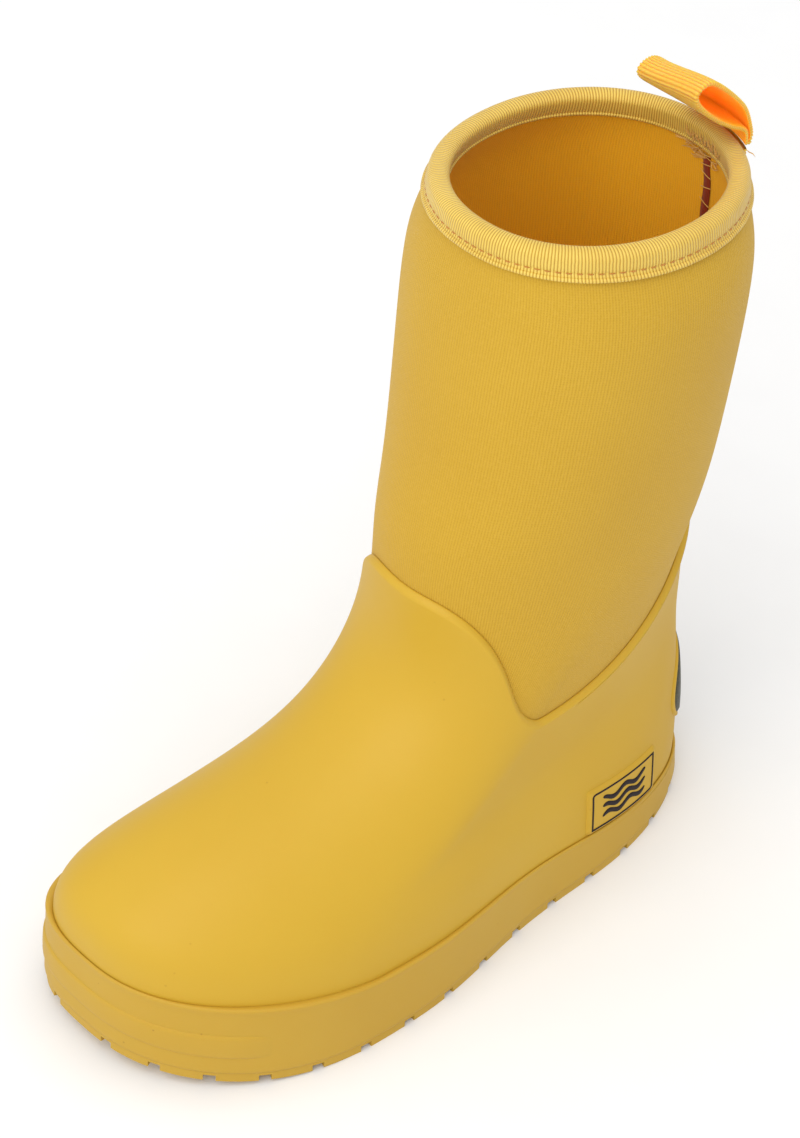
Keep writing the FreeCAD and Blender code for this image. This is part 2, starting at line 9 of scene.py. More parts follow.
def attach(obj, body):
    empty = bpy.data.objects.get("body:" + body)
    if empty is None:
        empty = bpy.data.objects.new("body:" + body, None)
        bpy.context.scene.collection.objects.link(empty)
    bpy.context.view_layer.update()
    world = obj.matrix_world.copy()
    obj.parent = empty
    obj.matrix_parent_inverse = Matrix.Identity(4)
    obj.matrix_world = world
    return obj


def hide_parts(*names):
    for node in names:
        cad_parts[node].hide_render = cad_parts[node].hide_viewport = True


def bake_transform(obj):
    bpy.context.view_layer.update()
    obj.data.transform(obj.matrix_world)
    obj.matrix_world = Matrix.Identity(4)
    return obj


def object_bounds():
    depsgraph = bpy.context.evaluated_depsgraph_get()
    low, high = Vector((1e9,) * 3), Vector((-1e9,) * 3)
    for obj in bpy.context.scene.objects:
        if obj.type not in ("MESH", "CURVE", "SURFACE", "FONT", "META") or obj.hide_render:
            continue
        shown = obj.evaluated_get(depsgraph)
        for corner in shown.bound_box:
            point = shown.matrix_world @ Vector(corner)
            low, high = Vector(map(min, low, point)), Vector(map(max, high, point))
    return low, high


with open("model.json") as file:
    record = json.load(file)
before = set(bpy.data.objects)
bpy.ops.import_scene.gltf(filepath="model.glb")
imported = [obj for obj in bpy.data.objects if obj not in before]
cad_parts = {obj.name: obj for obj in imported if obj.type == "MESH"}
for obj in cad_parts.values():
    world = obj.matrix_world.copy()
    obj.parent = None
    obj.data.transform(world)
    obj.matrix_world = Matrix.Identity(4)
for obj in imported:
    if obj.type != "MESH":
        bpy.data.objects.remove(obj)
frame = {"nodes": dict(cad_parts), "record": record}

cad_low, cad_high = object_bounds()
record = frame["record"]
joints = {joint["name"]: joint for joint in record["behaviour"]["joints"]}
MM = 0.001

# ---------------- sizes, in millimetres
SOLE = {"toe": -101.0, "heel": 100.0, "half_width": 41.5, "widest": -42.0}
TOE_SQUARE = 2.35  # 2 is an ellipse, more is squarer
HEEL_SQUARE = 2.6
INNER_TOE_GAIN = 1.3  # the toe's inner side is this much further from an ellipse
INNER_TOE_MOST = 0.45  # but its squareness never rises by more than this
TOE_IN = 10.9  # how far the toe tip swings towards the big toe
TOE_IN_START = -10.0
TOE_IN_RUN = 90.0
WAIST_Y = 22.0
WAIST_REACH = 32.0
WAIST_NARROWING = 0.12  # share of the width lost at the waist
PLAN_FADE_TOP = 115.0  # the foot's plan shape has faded out at this height
PLAN_FADE_RUN = 80.0
# The boot's skin is the outer face of the neoprene. It runs through level stations, from
# the feather line at level 0 to the collar's top. Foot stations hold: front y, front z,
# back y, back z, half width, widest y, side z, squareness in front and behind.
FOOT_STATIONS = [
    [-97.2, 10.0, 96.2, 10.0, 38.2, -42.0, 10.0, 2.35, 2.6],
    [-97.2, 26.0, 96.5, 22.0, 37.7, -42.0, 20.0, 2.35, 2.6],
    [-96.5, 42.5, 95.5, 38.0, 36.3, -35.0, 32.0, 2.3, 2.55],
    [-83.0, 52.5, 95.0, 52.0, 34.0, -28.0, 40.0, 2.3, 2.5],
    [-60.0, 59.5, 94.5, 66.0, 32.1, -15.0, 46.5, 2.25, 2.4],
    [-22.5, 68.0, 94.0, 82.0, 31.6, 5.0, 58.0, 2.2, 2.3],
    [-2.5, 89.5, 92.5, 98.5, 33.0, 30.0, 85.0, 2.1, 2.2],
]
BINDING_HEIGHT = 7.1
SHAFT_LENGTH = 101.5
# Shaft stations: share of the shaft's length, half length along y, half width.
SHAFT_STATIONS = [
    [0.00, 49.0, 36.1],
    [0.25, 47.6, 39.2],
    [0.55, 46.4, 41.2],
    [0.80, 44.9, 41.0],
    [1.0 - BINDING_HEIGHT / SHAFT_LENGTH, 43.2, 36.6],
    [1.00, 42.5, 35.0],
]
SEAM_STEP = 20.0
# Level of the rubber's top edge, every SEAM_STEP degrees from the toe round to the heel.
SEAM_LEVELS = [6.81, 6.77, 6.46, 5.95, 5.69, 5.58, 5.70, 6.00, 6.43, 6.91]
SHAFT_FOOT_Y = 47.4  # where the shaft's axis starts
SHAFT_FOOT_Z = 118.2
SHAFT_LEAN = math.radians(4.7)
SHAFT_BEND = 1.4  # the shaft's axis bows this much between its ends
SHAFT_SQUARE = 2.05
FULL_TILT_SHARE = 0.5  # the rings are tilted fully from this share upwards
TOE_SPRING = 5.2  # the tread's lift under the toe tip
TOE_SPRING_START = -45.0
TREAD = 3.1
BAND_TOP = (31.8, 23.7, 10.5)  # at the toe, the side and the heel
BAND_DRAFT = 0.6  # the band leans in this much towards its top edge
RUBBER = 2.0
NEOPRENE = 2.6
LINING_THICKNESS = 0.65
LINING = 3.55  # depth of the shaft lining's inner face
FOOT_LINING = 4.25  # the same in the foot, over the stiffeners
STITCH_PITCH = 0.7  # one stitch of the knit, along its wales
BACK_SEAM_X = 4.5
LOOP_RIBS = 78  # ribs from one sewn end of the loop round to the other

# The record gives the loop's hinge in the row frame; the same line in the skin's own frame
# is (hinge y, hinge z), so their difference is the shift between the two frames.
LOOP_HINGE = (100.9, 215.2)
hinge_at = joints["loop_swing"]["pos_m"]
SHIFT = np.array([hinge_at[0] / MM - BACK_SEAM_X, hinge_at[1] / MM - LOOP_HINGE[0], 0.0])


# ---------------- the skin's shape
def shaft_station(share, half_length, half_width):
    """A station on the shaft's axis, which leans back and bows a little."""
    bow = SHAFT_BEND * 4 * share * (1 - share)
    y = SHAFT_FOOT_Y + SHAFT_LENGTH * share * math.sin(SHAFT_LEAN) + bow
    z = SHAFT_FOOT_Z + SHAFT_LENGTH * share * math.cos(SHAFT_LEAN)
    tilt = SHAFT_LEAN * min(1.0, share / FULL_TILT_SHARE)
    dy = half_length * math.cos(tilt)
    dz = half_length * math.sin(tilt)
    return [y - dy, z + dz, y + dy, z - dz, half_width, y, z, SHAFT_SQUARE, SHAFT_SQUARE]


STATIONS = np.array(FOOT_STATIONS + [shaft_station(*row) for row in SHAFT_STATIONS])
TOP = len(STATIONS) - 1
SOFT_TOP = TOP - 0.24  # the neoprene and the lining end inside the binding


def spline_bends(values):
    """Second derivatives of the natural cubic spline through evenly spaced rows."""
    count = len(values)
    system = np.eye(count)
    for i in range(1, count - 1):
        system[i, i - 1:i + 2] = (1.0, 4.0, 1.0)
    steps = np.zeros_like(values)
    steps[1:-1] = 6.0 * (values[2:] - 2.0 * values[1:-1] + values[:-2])
    return np.linalg.solve(system, steps)


def spline_rows(values, bends, position):
    """Rows of the spline at positions counted in steps between its rows."""
    low = np.clip(np.floor(position).astype(int), 0, len(values) - 2)
    t = (position - low)[..., None]
    s = 1.0 - t
    return s * values[low] + t * values[low + 1] \
        + ((s ** 3 - s) * bends[low] + (t ** 3 - t) * bends[low + 1]) / 6.0


BENDS = spline_bends(STATIONS)
# The seam's levels go on past the toe and the heel as their own mirror image.
MIRRORED_SEAM = np.array([SEAM_LEVELS[2:0:-1] + SEAM_LEVELS + SEAM_LEVELS[-2:-4:-1]]).T
SEAM_BENDS = spline_bends(MIRRORED_SEAM)


def smooth_step(t):
    t = np.clip(t, 0.0, 1.0)
    return t * t * (3.0 - 2.0 * t)


def foot_plan(x, y, z):
    """Bend an even outline into a left foot's: toe swung inwards, waist drawn in."""
    fade = smooth_step((PLAN_FADE_TOP - z) / PLAN_FADE_RUN)
    swing = TOE_IN * (np.maximum(TOE_IN_START - y, 0.0) / TOE_IN_RUN) ** 2
    waist = np.exp(-((y - WAIST_Y) / WAIST_REACH) ** 2)
    return (x - fade * swing) * (1.0 - fade * WAIST_NARROWING * waist)


def squared_ring(angle, front, back, half_width, wide_y, square_front, square_back):
    """Points of a squared oval and their share towards the front (1) or back (-1)."""
    c, s = np.cos(angle), np.sin(angle)
    rise = np.minimum((square_front - 2.0) * INNER_TOE_GAIN, INNER_TOE_MOST)
    inner = np.where(s < 0, rise, 0.0)
    square = np.where(c > 0, square_front + inner, square_back)
    reach = (np.abs(c) ** square + np.abs(s) ** square) ** (-1.0 / square)
    y = wide_y + np.where(c > 0, front - wide_y, wide_y - back) * reach * c
    share = np.sign(c) * (reach * np.abs(c)) ** (square / 2.0)
    return half_width * reach * s, y, share


def height_wave(share, front, side, back):
    """Height round a ring that passes through its front, side and back heights."""
    middle = (front + back) / 2.0
    return (middle + side) / 2.0 + (front - back) / 2.0 * share \
        + (middle - side) / 2.0 * (2.0 * share ** 2 - 1.0)


def skin(angle, level):
    """Points of the skin; angle 0 is the toe and 90 degrees the outer side."""
    angle, level = np.broadcast_arrays(np.asarray(angle, float), np.asarray(level, float))
    front, front_z, back, back_z, half_width, wide_y, side_z, sq_front, sq_back = \
        np.moveaxis(spline_rows(STATIONS, BENDS, level), -1, 0)
    x, y, share = squared_ring(angle, front, back, half_width, wide_y, sq_front, sq_back)
    z = height_wave(share, front_z, side_z, back_z)
    return np.stack([foot_plan(x, y, z), y, z], axis=-1)


def unit(v):
    return v / np.linalg.norm(v, axis=-1, keepdims=True)


def normal_at(angle, level):
    step = 0.004
    along = skin(angle + step, level) - skin(angle - step, level)
    up = skin(angle, level + step) - skin(angle, level - step)
    return unit(np.cross(along, up))


def layer(angle, level, offset):
    """Points at a distance outside (+) or inside (-) the skin."""
    offset = np.asarray(offset, float)[..., None]
    return skin(angle, level) + normal_at(angle, level) * offset


def level_length(angle, level):
    """Millimetres of skin per level, to turn lengths into levels."""
    step = 0.01
    return np.linalg.norm(skin(angle, level + step) - skin(angle, level - step), axis=-1) / (2 * step)


def bisect(low, high, is_short, like):
    """Values between low and high, shaped as like, at which is_short turns false."""
    low = np.full_like(like, low)
    high = np.full_like(like, high)
    for _ in range(26):
        middle = (low + high) / 2.0
        short = is_short(middle)
        low = np.where(short, middle, low)
        high = np.where(short, high, middle)
    return (low + high) / 2.0


def level_at_height(angle, z):
    return bisect(0.0, TOP, lambda level: skin(angle, level)[..., 2] < z, angle)


def seam_at(angle):
    """Level of the rubber's top edge: high in front and behind, dipped on both sides."""
    side = np.abs((np.degrees(angle) + 180.0) % 360.0 - 180.0)
    return spline_rows(MIRRORED_SEAM, SEAM_BENDS, side / SEAM_STEP + 2.0)[..., 0]


def sole_point(angle, inset, z):
    """Points of the sole's outline, moved inwards by inset, at height z."""
    inset, z = np.broadcast_arrays(np.asarray(inset, float), np.asarray(z, float))
    x, y, _ = squared_ring(angle, SOLE["toe"] + inset, SOLE["heel"] - inset,
                           SOLE["half_width"] - inset, SOLE["widest"],
                           TOE_SQUARE, HEEL_SQUARE)
    x, y, z = np.broadcast_arrays(foot_plan(x, y, 0.0 * x), y, z)
    return np.stack([x, y, z], axis=-1)


def spring_at(y):
    """How far the toe spring lifts the tread at y."""
    ahead = np.maximum(TOE_SPRING_START - y, 0.0)
    return TOE_SPRING * (ahead / (TOE_SPRING_START - SOLE["toe"])) ** 2


def band_top_at(angle):
    _, _, share = squared_ring(angle, -1.0, 1.0, 1.0, 0.0, TOE_SQUARE, HEEL_SQUARE)
    return height_wave(share, *BAND_TOP)


def collar_point(angle, outward, below):
    """Points beside the collar's top ring, moved level outward and down the shaft."""
    step = 0.01
    along = skin(angle + step, TOP) - skin(angle - step, TOP)
    away = unit(np.stack([along[..., 1], -along[..., 0], 0.0 * along[..., 0]], axis=-1))
    outward = np.asarray(outward, float)[..., None]
    return skin(angle, TOP - np.asarray(below, float) / BINDING_HEIGHT) + away * outward


def full_turn(count):
    return np.arange(count) * 2.0 * math.pi / count


# ---------------- meshes
def new_piece(name, points, faces, uvs, material, body, replaces=()):
    """A mesh piece from points in the skin's frame, with one UV pair per face corner."""
    mesh = bpy.data.meshes.new(name)
    mesh.from_pydata(((points + SHIFT) * MM).tolist(), [], faces)
    layer_uv = mesh.uv_layers.new(name="UVMap")
    layer_uv.data.foreach_set("uv", np.asarray(uvs, float).ravel())
    mesh.polygons.foreach_set("use_smooth", [True] * len(mesh.polygons))
    mesh.update()
    piece = bpy.data.objects.new(name, mesh)
    bpy.context.scene.collection.objects.link(piece)
    materials = material if isinstance(material, list) else [material]
    for one in materials:
        mesh.materials.append(one)
    if body:
        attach(piece, body)
    if replaces:
        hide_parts(*replaces)
    return piece


def grid_faces(rows, columns, wrap_rows, wrap_columns):
    """Corner indices and grid coordinates of the quads of a grid of points."""
    i, j = np.meshgrid(np.arange(rows if wrap_rows else rows - 1),
                       np.arange(columns if wrap_columns else columns - 1), indexing="ij")
    i, j = i.ravel(), j.ravel()
    corners = [(i, j), (i, j + 1), (i + 1, j + 1), (i + 1, j)]
    index = np.stack([(a % rows) * columns + b % columns for a, b in corners], axis=1)
    place = np.stack([np.stack([b, a], axis=1) for a, b in corners], axis=1)
    return index, place


def grid_piece(name, grid, material, body, replaces=(), wrap_rows=False, wrap_columns=True,
               u=None, v=None):
    """A piece from a grid of points; u and v give each column's and row's UV place.

    A direction that wraps round needs one place more than it has points.
    """
    rows, columns = grid.shape[:2]
    index, place = grid_faces(rows, columns, wrap_rows, wrap_columns)
    u = np.arange(columns + 1) / columns if u is None else u
    v = np.arange(rows + 1) / rows if v is None else v
    uvs = np.stack([u[place[..., 0]], v[place[..., 1]]], axis=-1)
    piece = new_piece(name, grid.reshape(-1, 3), index.tolist(), uvs.reshape(-1, 2), material,
                      body, replaces)
    face_outwards(piece)
    return piece


def face_outwards(piece):
    bm = bmesh.new()
    bm.from_mesh(piece.data)
    bmesh.ops.recalc_face_normals(bm, faces=bm.faces)
    bm.to_mesh(piece.data)
    bm.free()


def lengths_along(points):
    """Running length, in millimetres, along the rows of a column of points."""
    steps = np.linalg.norm(np.diff(points, axis=0), axis=-1)
    return np.concatenate([[0.0], np.cumsum(steps)])


def tube_mesh(paths, radius, sides):
    """Points, faces and UVs of round threads along several open paths, with rounded ends."""
    points, faces, uvs = [], [], []
    for path in paths:
        path = np.asarray(path, float)
        tangent = unit(np.gradient(path, axis=0))
        guide = np.array([0.0, 0.0, 1.0])
        if abs(tangent[0] @ guide) > 0.9:
            guide = np.array([0.0, 1.0, 0.0])
        side = unit(np.cross(tangent, guide))
        across = np.cross(tangent, side)
        run = lengths_along(path)
        taper = np.sqrt(np.clip(np.minimum(run, run[-1] - run) / radius, 0.06, 1.0))
        turn = full_turn(sides)
        ring = (np.cos(turn)[None, :, None] * side[:, None] + np.sin(turn)[None, :, None]
                * across[:, None]) * (radius * taper)[:, None, None]
        start = sum(len(p) for p in points)
        points.append((path[:, None] + ring).reshape(-1, 3))
        index, place = grid_faces(len(path), sides, False, True)
        faces += (index + start).tolist()
        spot = np.stack([place[..., 0] / sides, run[place[..., 1]]], axis=-1)
        uvs.append(spot.reshape(-1, 2))
        for end in (0, len(path) - 1):
            ring_ids = [start + end * sides + k for k in range(sides)]
            faces.append(ring_ids if end else ring_ids[::-1])
            uvs.append(np.full((sides, 2), run[end]))
    return np.concatenate(points), faces, np.concatenate(uvs)


def threads_piece(name, paths, radius, material, body, replaces=(), sides=8):
    points, faces, uvs = tube_mesh(paths, radius, sides)
    piece = new_piece(name, points, faces, uvs, material, body, replaces)
    face_outwards(piece)
    return piece


# ---------------- materials
class Nodes:
    """A small helper that adds nodes to a material and links them."""

    def __init__(self, name):
        self.material = bpy.data.materials.new(name)
        self.material.use_nodes = True
        self.tree = self.material.node_tree
        self.shader = self.tree.nodes["Principled BSDF"]

    def add(self, kind, inputs=None, **settings):
        node = self.tree.nodes.new(kind)
        for key, value in settings.items():
            setattr(node, key, value)
        for key, value in (inputs or {}).items():
            self.set(node, key, value)
        return node

    def set(self, node, key, value):
        socket = node.inputs[key]
        if isinstance(value, bpy.types.NodeSocket):
            self.tree.links.new(value, socket)
        else:
            socket.default_value = value

    def math(self, operation, a, b=0.0):
        node = self.add("ShaderNodeMath", {0: a, 1: b}, operation=operation)
        return node.outputs[0]

    def times(self, a, b):
        return self.math("MULTIPLY", a, b)

    def plus(self, a, b):
        return self.math("ADD", a, b)

    def noise(self, scale, detail=4.0, roughness=0.5):
        node = self.add("ShaderNodeTexNoise", {"Vector": self.object_place(), "Scale": scale,
                                               "Detail": detail, "Roughness": roughness})
        return node.outputs["Fac"]

    def object_place(self):
        return self.add("ShaderNodeTexCoord").outputs["Object"]

    def uv(self):
        node = self.add("ShaderNodeUVMap", uv_map="UVMap")
        split = self.add("ShaderNodeSeparateXYZ", {0: node.outputs[0]})
        return split.outputs[0], split.outputs[1]

    def ridges(self, phase):
        """Rounded ridges, one for each unit of the phase."""
        return self.math("ABSOLUTE", self.math("SINE", self.times(phase, math.pi)))

    def wander(self, scale, reach):
        """A slow drift about zero, to make regular rows less even."""
        return self.times(self.math("SUBTRACT", self.noise(scale), 0.5), reach)

    def stretch(self, value, low, high, to_low, to_high):
        """Map low..high of the value to to_low..to_high and hold it beyond."""
        node = self.add("ShaderNodeMapRange", {0: value, 1: low, 2: high, 3: to_low, 4: to_high})
        return node.outputs[0]

    def mix(self, share, a, b):
        node = self.add("ShaderNodeMix", data_type="RGBA", blend_type="MIX")
        for socket, value in (("Factor", share), ("A", a), ("B", b)):
            found = [s for s in node.inputs if s.name == socket and s.enabled][0]
            if isinstance(value, bpy.types.NodeSocket):
                self.tree.links.new(value, found)
            else:
                found.default_value = value
        return [s for s in node.outputs if s.enabled][0]

    def bump(self, height, distance, strength=1.0, normal=None):
        inputs = {"Height": height, "Distance": distance, "Strength": strength}
        if normal is not None:
            inputs["Normal"] = normal
        return self.add("ShaderNodeBump", inputs).outputs[0]

    def finish(self, colour, roughness, normal, **fixed):
        """Link the shader's inputs; fixed holds its constants, with _ for a space."""
        self.set(self.shader, "Base Color", colour)
        self.set(self.shader, "Roughness", roughness)
        if normal is not None:
            self.set(self.shader, "Normal", normal)
        for key, value in fixed.items():
            self.set(self.shader, key.replace("_", " "), value)
        return self.material


def rgb(*channels):
    """A display colour, 0 to 255, as the linear colour that shaders use."""
    shares = [channel / 255.0 for channel in channels]
    return (*[c / 12.92 if c <= 0.04045 else ((c + 0.055) / 1.055) ** 2.4 for c in shares], 1.0)


def moulded_rubber(name, colour, deep, speck):
    """Satin moulded rubber: faint cloudy colour, fine mould grain and a few tiny pits."""
    m = Nodes(name)
    cloud = m.noise(14.0, 3.0)
    grain = m.noise(2600.0, 3.0)
    tint = m.mix(m.stretch(cloud, 0.3, 0.7, 0.0, 0.55), colour, deep)
    pits = m.add("ShaderNodeTexVoronoi", {"Vector": m.object_place(), "Scale": 150.0},
                 feature="F1").outputs["Distance"]
    pit = m.stretch(pits, 0.035, 0.06, speck, 0.0)
    tint = m.mix(m.times(pit, m.stretch(m.noise(30.0), 0.52, 0.62, 0.0, 0.5)), tint,
                 rgb(150, 105, 30))
    rough = m.stretch(m.plus(cloud, m.times(grain, 0.4)), 0.4, 1.0, 0.50, 0.60)
    fine = m.bump(grain, 0.00005, 0.35)
    wavy = m.bump(m.noise(90.0, 2.0), 0.00025, 0.25, fine)
    return m.finish(tint, rough, wavy, Specular_IOR_Level=0.32, Subsurface_Weight=0.06,
                    Subsurface_Scale=0.004, Subsurface_Radius=(1.0, 0.45, 0.1))


def knit(name, colour, groove_shade, wales, sheen):
    """Fine jersey knit: upright wales round the tube, made of small stitches, with painted shade
    between them.
    """
    m = Nodes(name)
    u, v = m.uv()
    across = m.plus(m.times(u, wales), m.wander(60.0, 0.9))
    lean = m.times(m.math("PINGPONG", across, 0.5), 1.2)
    row = m.plus(m.math("DIVIDE", v, STITCH_PITCH), lean)
    height = m.plus(m.times(m.ridges(across), 0.65),
                    m.times(m.ridges(row), 0.35))
    fuzz = m.noise(1800.0)
    cloud = m.noise(22.0)
    # Painted shade: low places between the wales and rows take the darker groove shade colour; the
    # same colour also gives a random cloudy tone.
    tint = m.mix(m.stretch(height, 0.15, 0.8, 0.75, 0.0), colour, groove_shade)
    tint = m.mix(m.stretch(cloud, 0.35, 0.7, 0.0, 0.22), tint, groove_shade)
    tint = m.mix(m.stretch(fuzz, 0.4, 0.75, 0.0, 0.14), tint, rgb(236, 196, 100))
    raised = m.bump(height, 0.00013, 0.8)
    normal = m.bump(fuzz, 0.00006, 0.4, raised)
    rough = m.stretch(fuzz, 0.3, 0.8, 0.72, 0.88)
    return m.finish(tint, rough, normal, Sheen_Weight=sheen, Sheen_Roughness=0.45,
                    Sheen_Tint=(1.0, 0.86, 0.55, 1.0), Specular_IOR_Level=0.25)


def ribbed_tape(name, colour, groove_shade, ribs, relief, satin):
    """Grosgrain: close ribs across the tape, with a satin shine and painted shade between the ribs.
    """
    m = Nodes(name)
    u, _ = m.uv()
    rib = m.ridges(m.plus(m.times(u, ribs), m.wander(240.0, 0.5)))
    fibre = m.noise(2400.0)
    # Painted shade: the tape is darker between its ribs; the same colour also gives a random cloudy
    # tone.
    tint = m.mix(m.stretch(rib, 0.1, 0.75, 1.0, 0.0), colour, groove_shade)
    tint = m.mix(m.stretch(m.noise(45.0), 0.35, 0.7, 0.0, 0.3), tint, groove_shade)
    normal = m.bump(fibre, 0.00004, 0.35, m.bump(rib, relief, 0.9))
    rough = m.stretch(fibre, 0.3, 0.8, satin, satin + 0.16)
    return m.finish(tint, rough, normal, Sheen_Weight=0.2, Sheen_Roughness=0.35,
                    Specular_IOR_Level=0.4)


def twisted_thread(name, colour, groove_shade):
    """Sewing thread: a two-ply twist, with painted shade between the plies."""
    m = Nodes(name)
    u, v = m.uv()
    plies = 2.0
    turns_per_mm = 2.2
    ply = m.ridges(m.plus(m.times(u, plies), m.times(v, turns_per_mm)))
    # Painted shade: the thread is darker between its plies; the same colour also gives a random
    # cloudy tone.
    tint = m.mix(m.stretch(ply, 0.1, 0.7, 1.0, 0.0), colour, groove_shade)
    tint = m.mix(m.stretch(m.noise(300.0), 0.4, 0.7, 0.0, 0.3), tint, groove_shade)
    return m.finish(tint, 0.55, m.bump(ply, 0.00008, 0.8), Sheen_Weight=0.3)


def webbing(name, colour, groove_shade, tone_and_glow_tint, painted_glow):
    """Ribbed webbing with painted shade between its ribs, thin enough for some light to come through,
    and with an optional painted glow.
    """
    m = Nodes(name)
    u, _ = m.uv()
    fibre = m.noise(3000.0)
    rib = m.ridges(m.times(u, LOOP_RIBS))
    # Painted shade: the webbing is darker between its ribs.
    tint = m.mix(m.stretch(rib, 0.1, 0.75, 0.85, 0.0), colour, groove_shade)
    tint = m.mix(m.stretch(m.noise(80.0), 0.35, 0.7, 0.0, 0.35), tint, tone_and_glow_tint)
    normal = m.bump(fibre, 0.00005, 0.4, m.bump(rib, 0.00008, 0.5))
    # The emission is a painted glow in the tone colour; its strength is given per material.
    return m.finish(tint, m.stretch(fibre, 0.3, 0.8, 0.5, 0.66), normal, Sheen_Weight=0.15,
                    Specular_IOR_Level=0.3, Subsurface_Weight=0.75, Subsurface_Scale=0.0028,
                    Subsurface_Radius=(1.0, 0.45, 0.08), Emission_Color=tone_and_glow_tint,
                    Emission_Strength=painted_glow)


def printed_ink(name):
    m = Nodes(name)
    grain = m.noise(1500.0)
    tint = m.mix(m.stretch(grain, 0.35, 0.7, 0.0, 1.0), rgb(34, 28, 32), rgb(50, 42, 42))
    return m.finish(tint, m.stretch(grain, 0.3, 0.7, 0.6, 0.75), m.bump(grain, 0.00003, 0.4),
                    Specular_IOR_Level=0.15)


def badge_plastic(name):
    """Dark olive moulded badge with a fine honeycomb under a smooth face."""
    m = Nodes(name)
    cells = m.add("ShaderNodeTexVoronoi", {"Vector": m.object_place(), "Scale": 700.0},
                  feature="DISTANCE_TO_EDGE").outputs["Distance"]
    tint = m.mix(m.stretch(cells, 0.02, 0.12, 0.0, 1.0), rgb(84, 82, 60), rgb(58, 58, 44))
    tint = m.mix(m.stretch(m.noise(60.0), 0.35, 0.65, 0.0, 0.4), tint, rgb(70, 66, 46))
    return m.finish(tint, m.stretch(m.noise(900.0), 0.3, 0.7, 0.42, 0.52),
                    m.bump(cells, 0.00004, 0.3), Specular_IOR_Level=0.18)


def pressed_fibre(name, colour, deep):
    m = Nodes(name)
    fibre = m.noise(900.0, 6.0, roughness=0.7)
    tint = m.mix(m.stretch(fibre, 0.35, 0.65, 0.0, 1.0), colour, deep)
    return m.finish(tint, 0.85, m.bump(fibre, 0.0001, 0.5))


upper_rubber = moulded_rubber("upper_rubber", rgb(203, 164, 48), rgb(197, 155, 39), speck=0.5)
sole_rubber = moulded_rubber("sole_rubber", rgb(196, 158, 54), rgb(188, 146, 40), speck=1.0)
neoprene_knit = knit("neoprene_knit", rgb(202, 162, 46), rgb(184, 138, 30), wales=340, sheen=0.2)
lining_knit = knit("lining_knit", rgb(250, 192, 34), rgb(228, 164, 20), wales=330, sheen=0.1)
footbed_knit = pressed_fibre("footbed_knit", rgb(206, 150, 40), rgb(170, 112, 20))
binding_tape = ribbed_tape("binding_tape", rgb(232, 200, 94), rgb(192, 142, 36), ribs=300,
                           relief=0.0002, satin=0.42)
stitch_thread = twisted_thread("stitch_thread", rgb(204, 134, 32), rgb(168, 102, 18))
seam_thread = twisted_thread("seam_thread", rgb(240, 192, 92), rgb(190, 130, 40))
seam_tape = ribbed_tape("seam_tape", rgb(150, 54, 14), rgb(104, 30, 8), ribs=6,
                        relief=0.0001, satin=0.7)
webbing_outer = webbing("webbing_outer", rgb(226, 186, 74), rgb(206, 142, 36), rgb(226, 172, 56),
                        painted_glow=0.0)
# The inner copy is brighter and more orange than the outer one, and it glows: painted light for the
# light caught inside the loop's eye.
webbing_inner_painted_glow = webbing("webbing_inner_painted_glow", rgb(255, 170, 24), rgb(250, 124, 4), rgb(255, 140, 8),
                        painted_glow=0.2)
ink = printed_ink("label_ink")
badge = badge_plastic("badge_plastic")
fibre_board = pressed_fibre("fibre_board", rgb(190, 170, 138), rgb(150, 128, 96))
foam = pressed_fibre("footbed_foam", rgb(214, 190, 120), rgb(180, 150, 84))


# ---------------- sole
RUBBER_COLUMNS = 288  # points round the boot in the rubber's meshes


def foxing_band():
    """The rubber strip round the sole, with a rounded rim that stands proud of the upper."""
    a = full_turn(RUBBER_COLUMNS)
    low = spring_at(sole_point(a, 0.0, 0.0)[:, 1]) + TREAD + 0.1
    top = band_top_at(a)
    top_level = level_at_height(a, top)

    # Millimetres inwards and up from the lower edge, then inwards and down from the rim.
    foot_profile = [(2.6, 0.0), (0.6, 0.0), (0.12, 0.12), (0.0, 0.6)]
    rim_profile = [(0.0, 1.6), (-0.12, 1.0), (-0.08, 0.5), (0.12, 0.14), (0.5, 0.0)]
    rows = [sole_point(a, inset, low + up) for inset, up in foot_profile]
    rows += [sole_point(a, BAND_DRAFT * share, low + (top - low) * share)
             for share in np.linspace(0.08, 0.86, 22)]
    rows += [sole_point(a, BAND_DRAFT + inset, top - down) for inset, down in rim_profile]
    # From the rim down between the band and the upper, a little inside the rubber's face.
    inner = layer(a, top_level, RUBBER + 0.15)
    inner[:, 2] = top - 0.1
    seat = RUBBER - 0.25
    rows += [inner, layer(a, top_level - 0.05, seat), layer(a, top_level * 0.5, seat),
             layer(a, top_level * 0.1, seat)]
    return grid_piece("foxing_band_rubber", np.array(rows), sole_rubber, "foot",
                      ("foxing_band",), wrap_rows=True)


def toe_bumper():
    """A faint second strip across the toe that fades out at its ends."""
    end = 66.0  # degrees either side of the toe tip
    fade_run = 16.0
    a = np.radians(np.linspace(-end, end, 90))
    low = spring_at(sole_point(a, 0.0, 0.0)[:, 1]) + TREAD
    top = band_top_at(a)
    fade = smooth_step((end - np.abs(np.degrees(a))) / fade_run)
    rows = []
    sunk = 0.3  # how far the strip's edges lie inside the band
    profile = [(0.24, -sunk), (0.255, 0.1), (0.275, 0.42), (0.31, 0.5), (0.42, 0.54),
               (0.54, 0.5), (0.575, 0.42), (0.595, 0.1), (0.61, -sunk)]
    for share, proud in profile:
        rows.append(sole_point(a, BAND_DRAFT * share - (proud + sunk) * fade + sunk,
                               low + (top - low) * share))
    return grid_piece("toe_bumper_rubber", np.array(rows), sole_rubber, "foot",
                      ("toe_bumper",), wrap_columns=False)


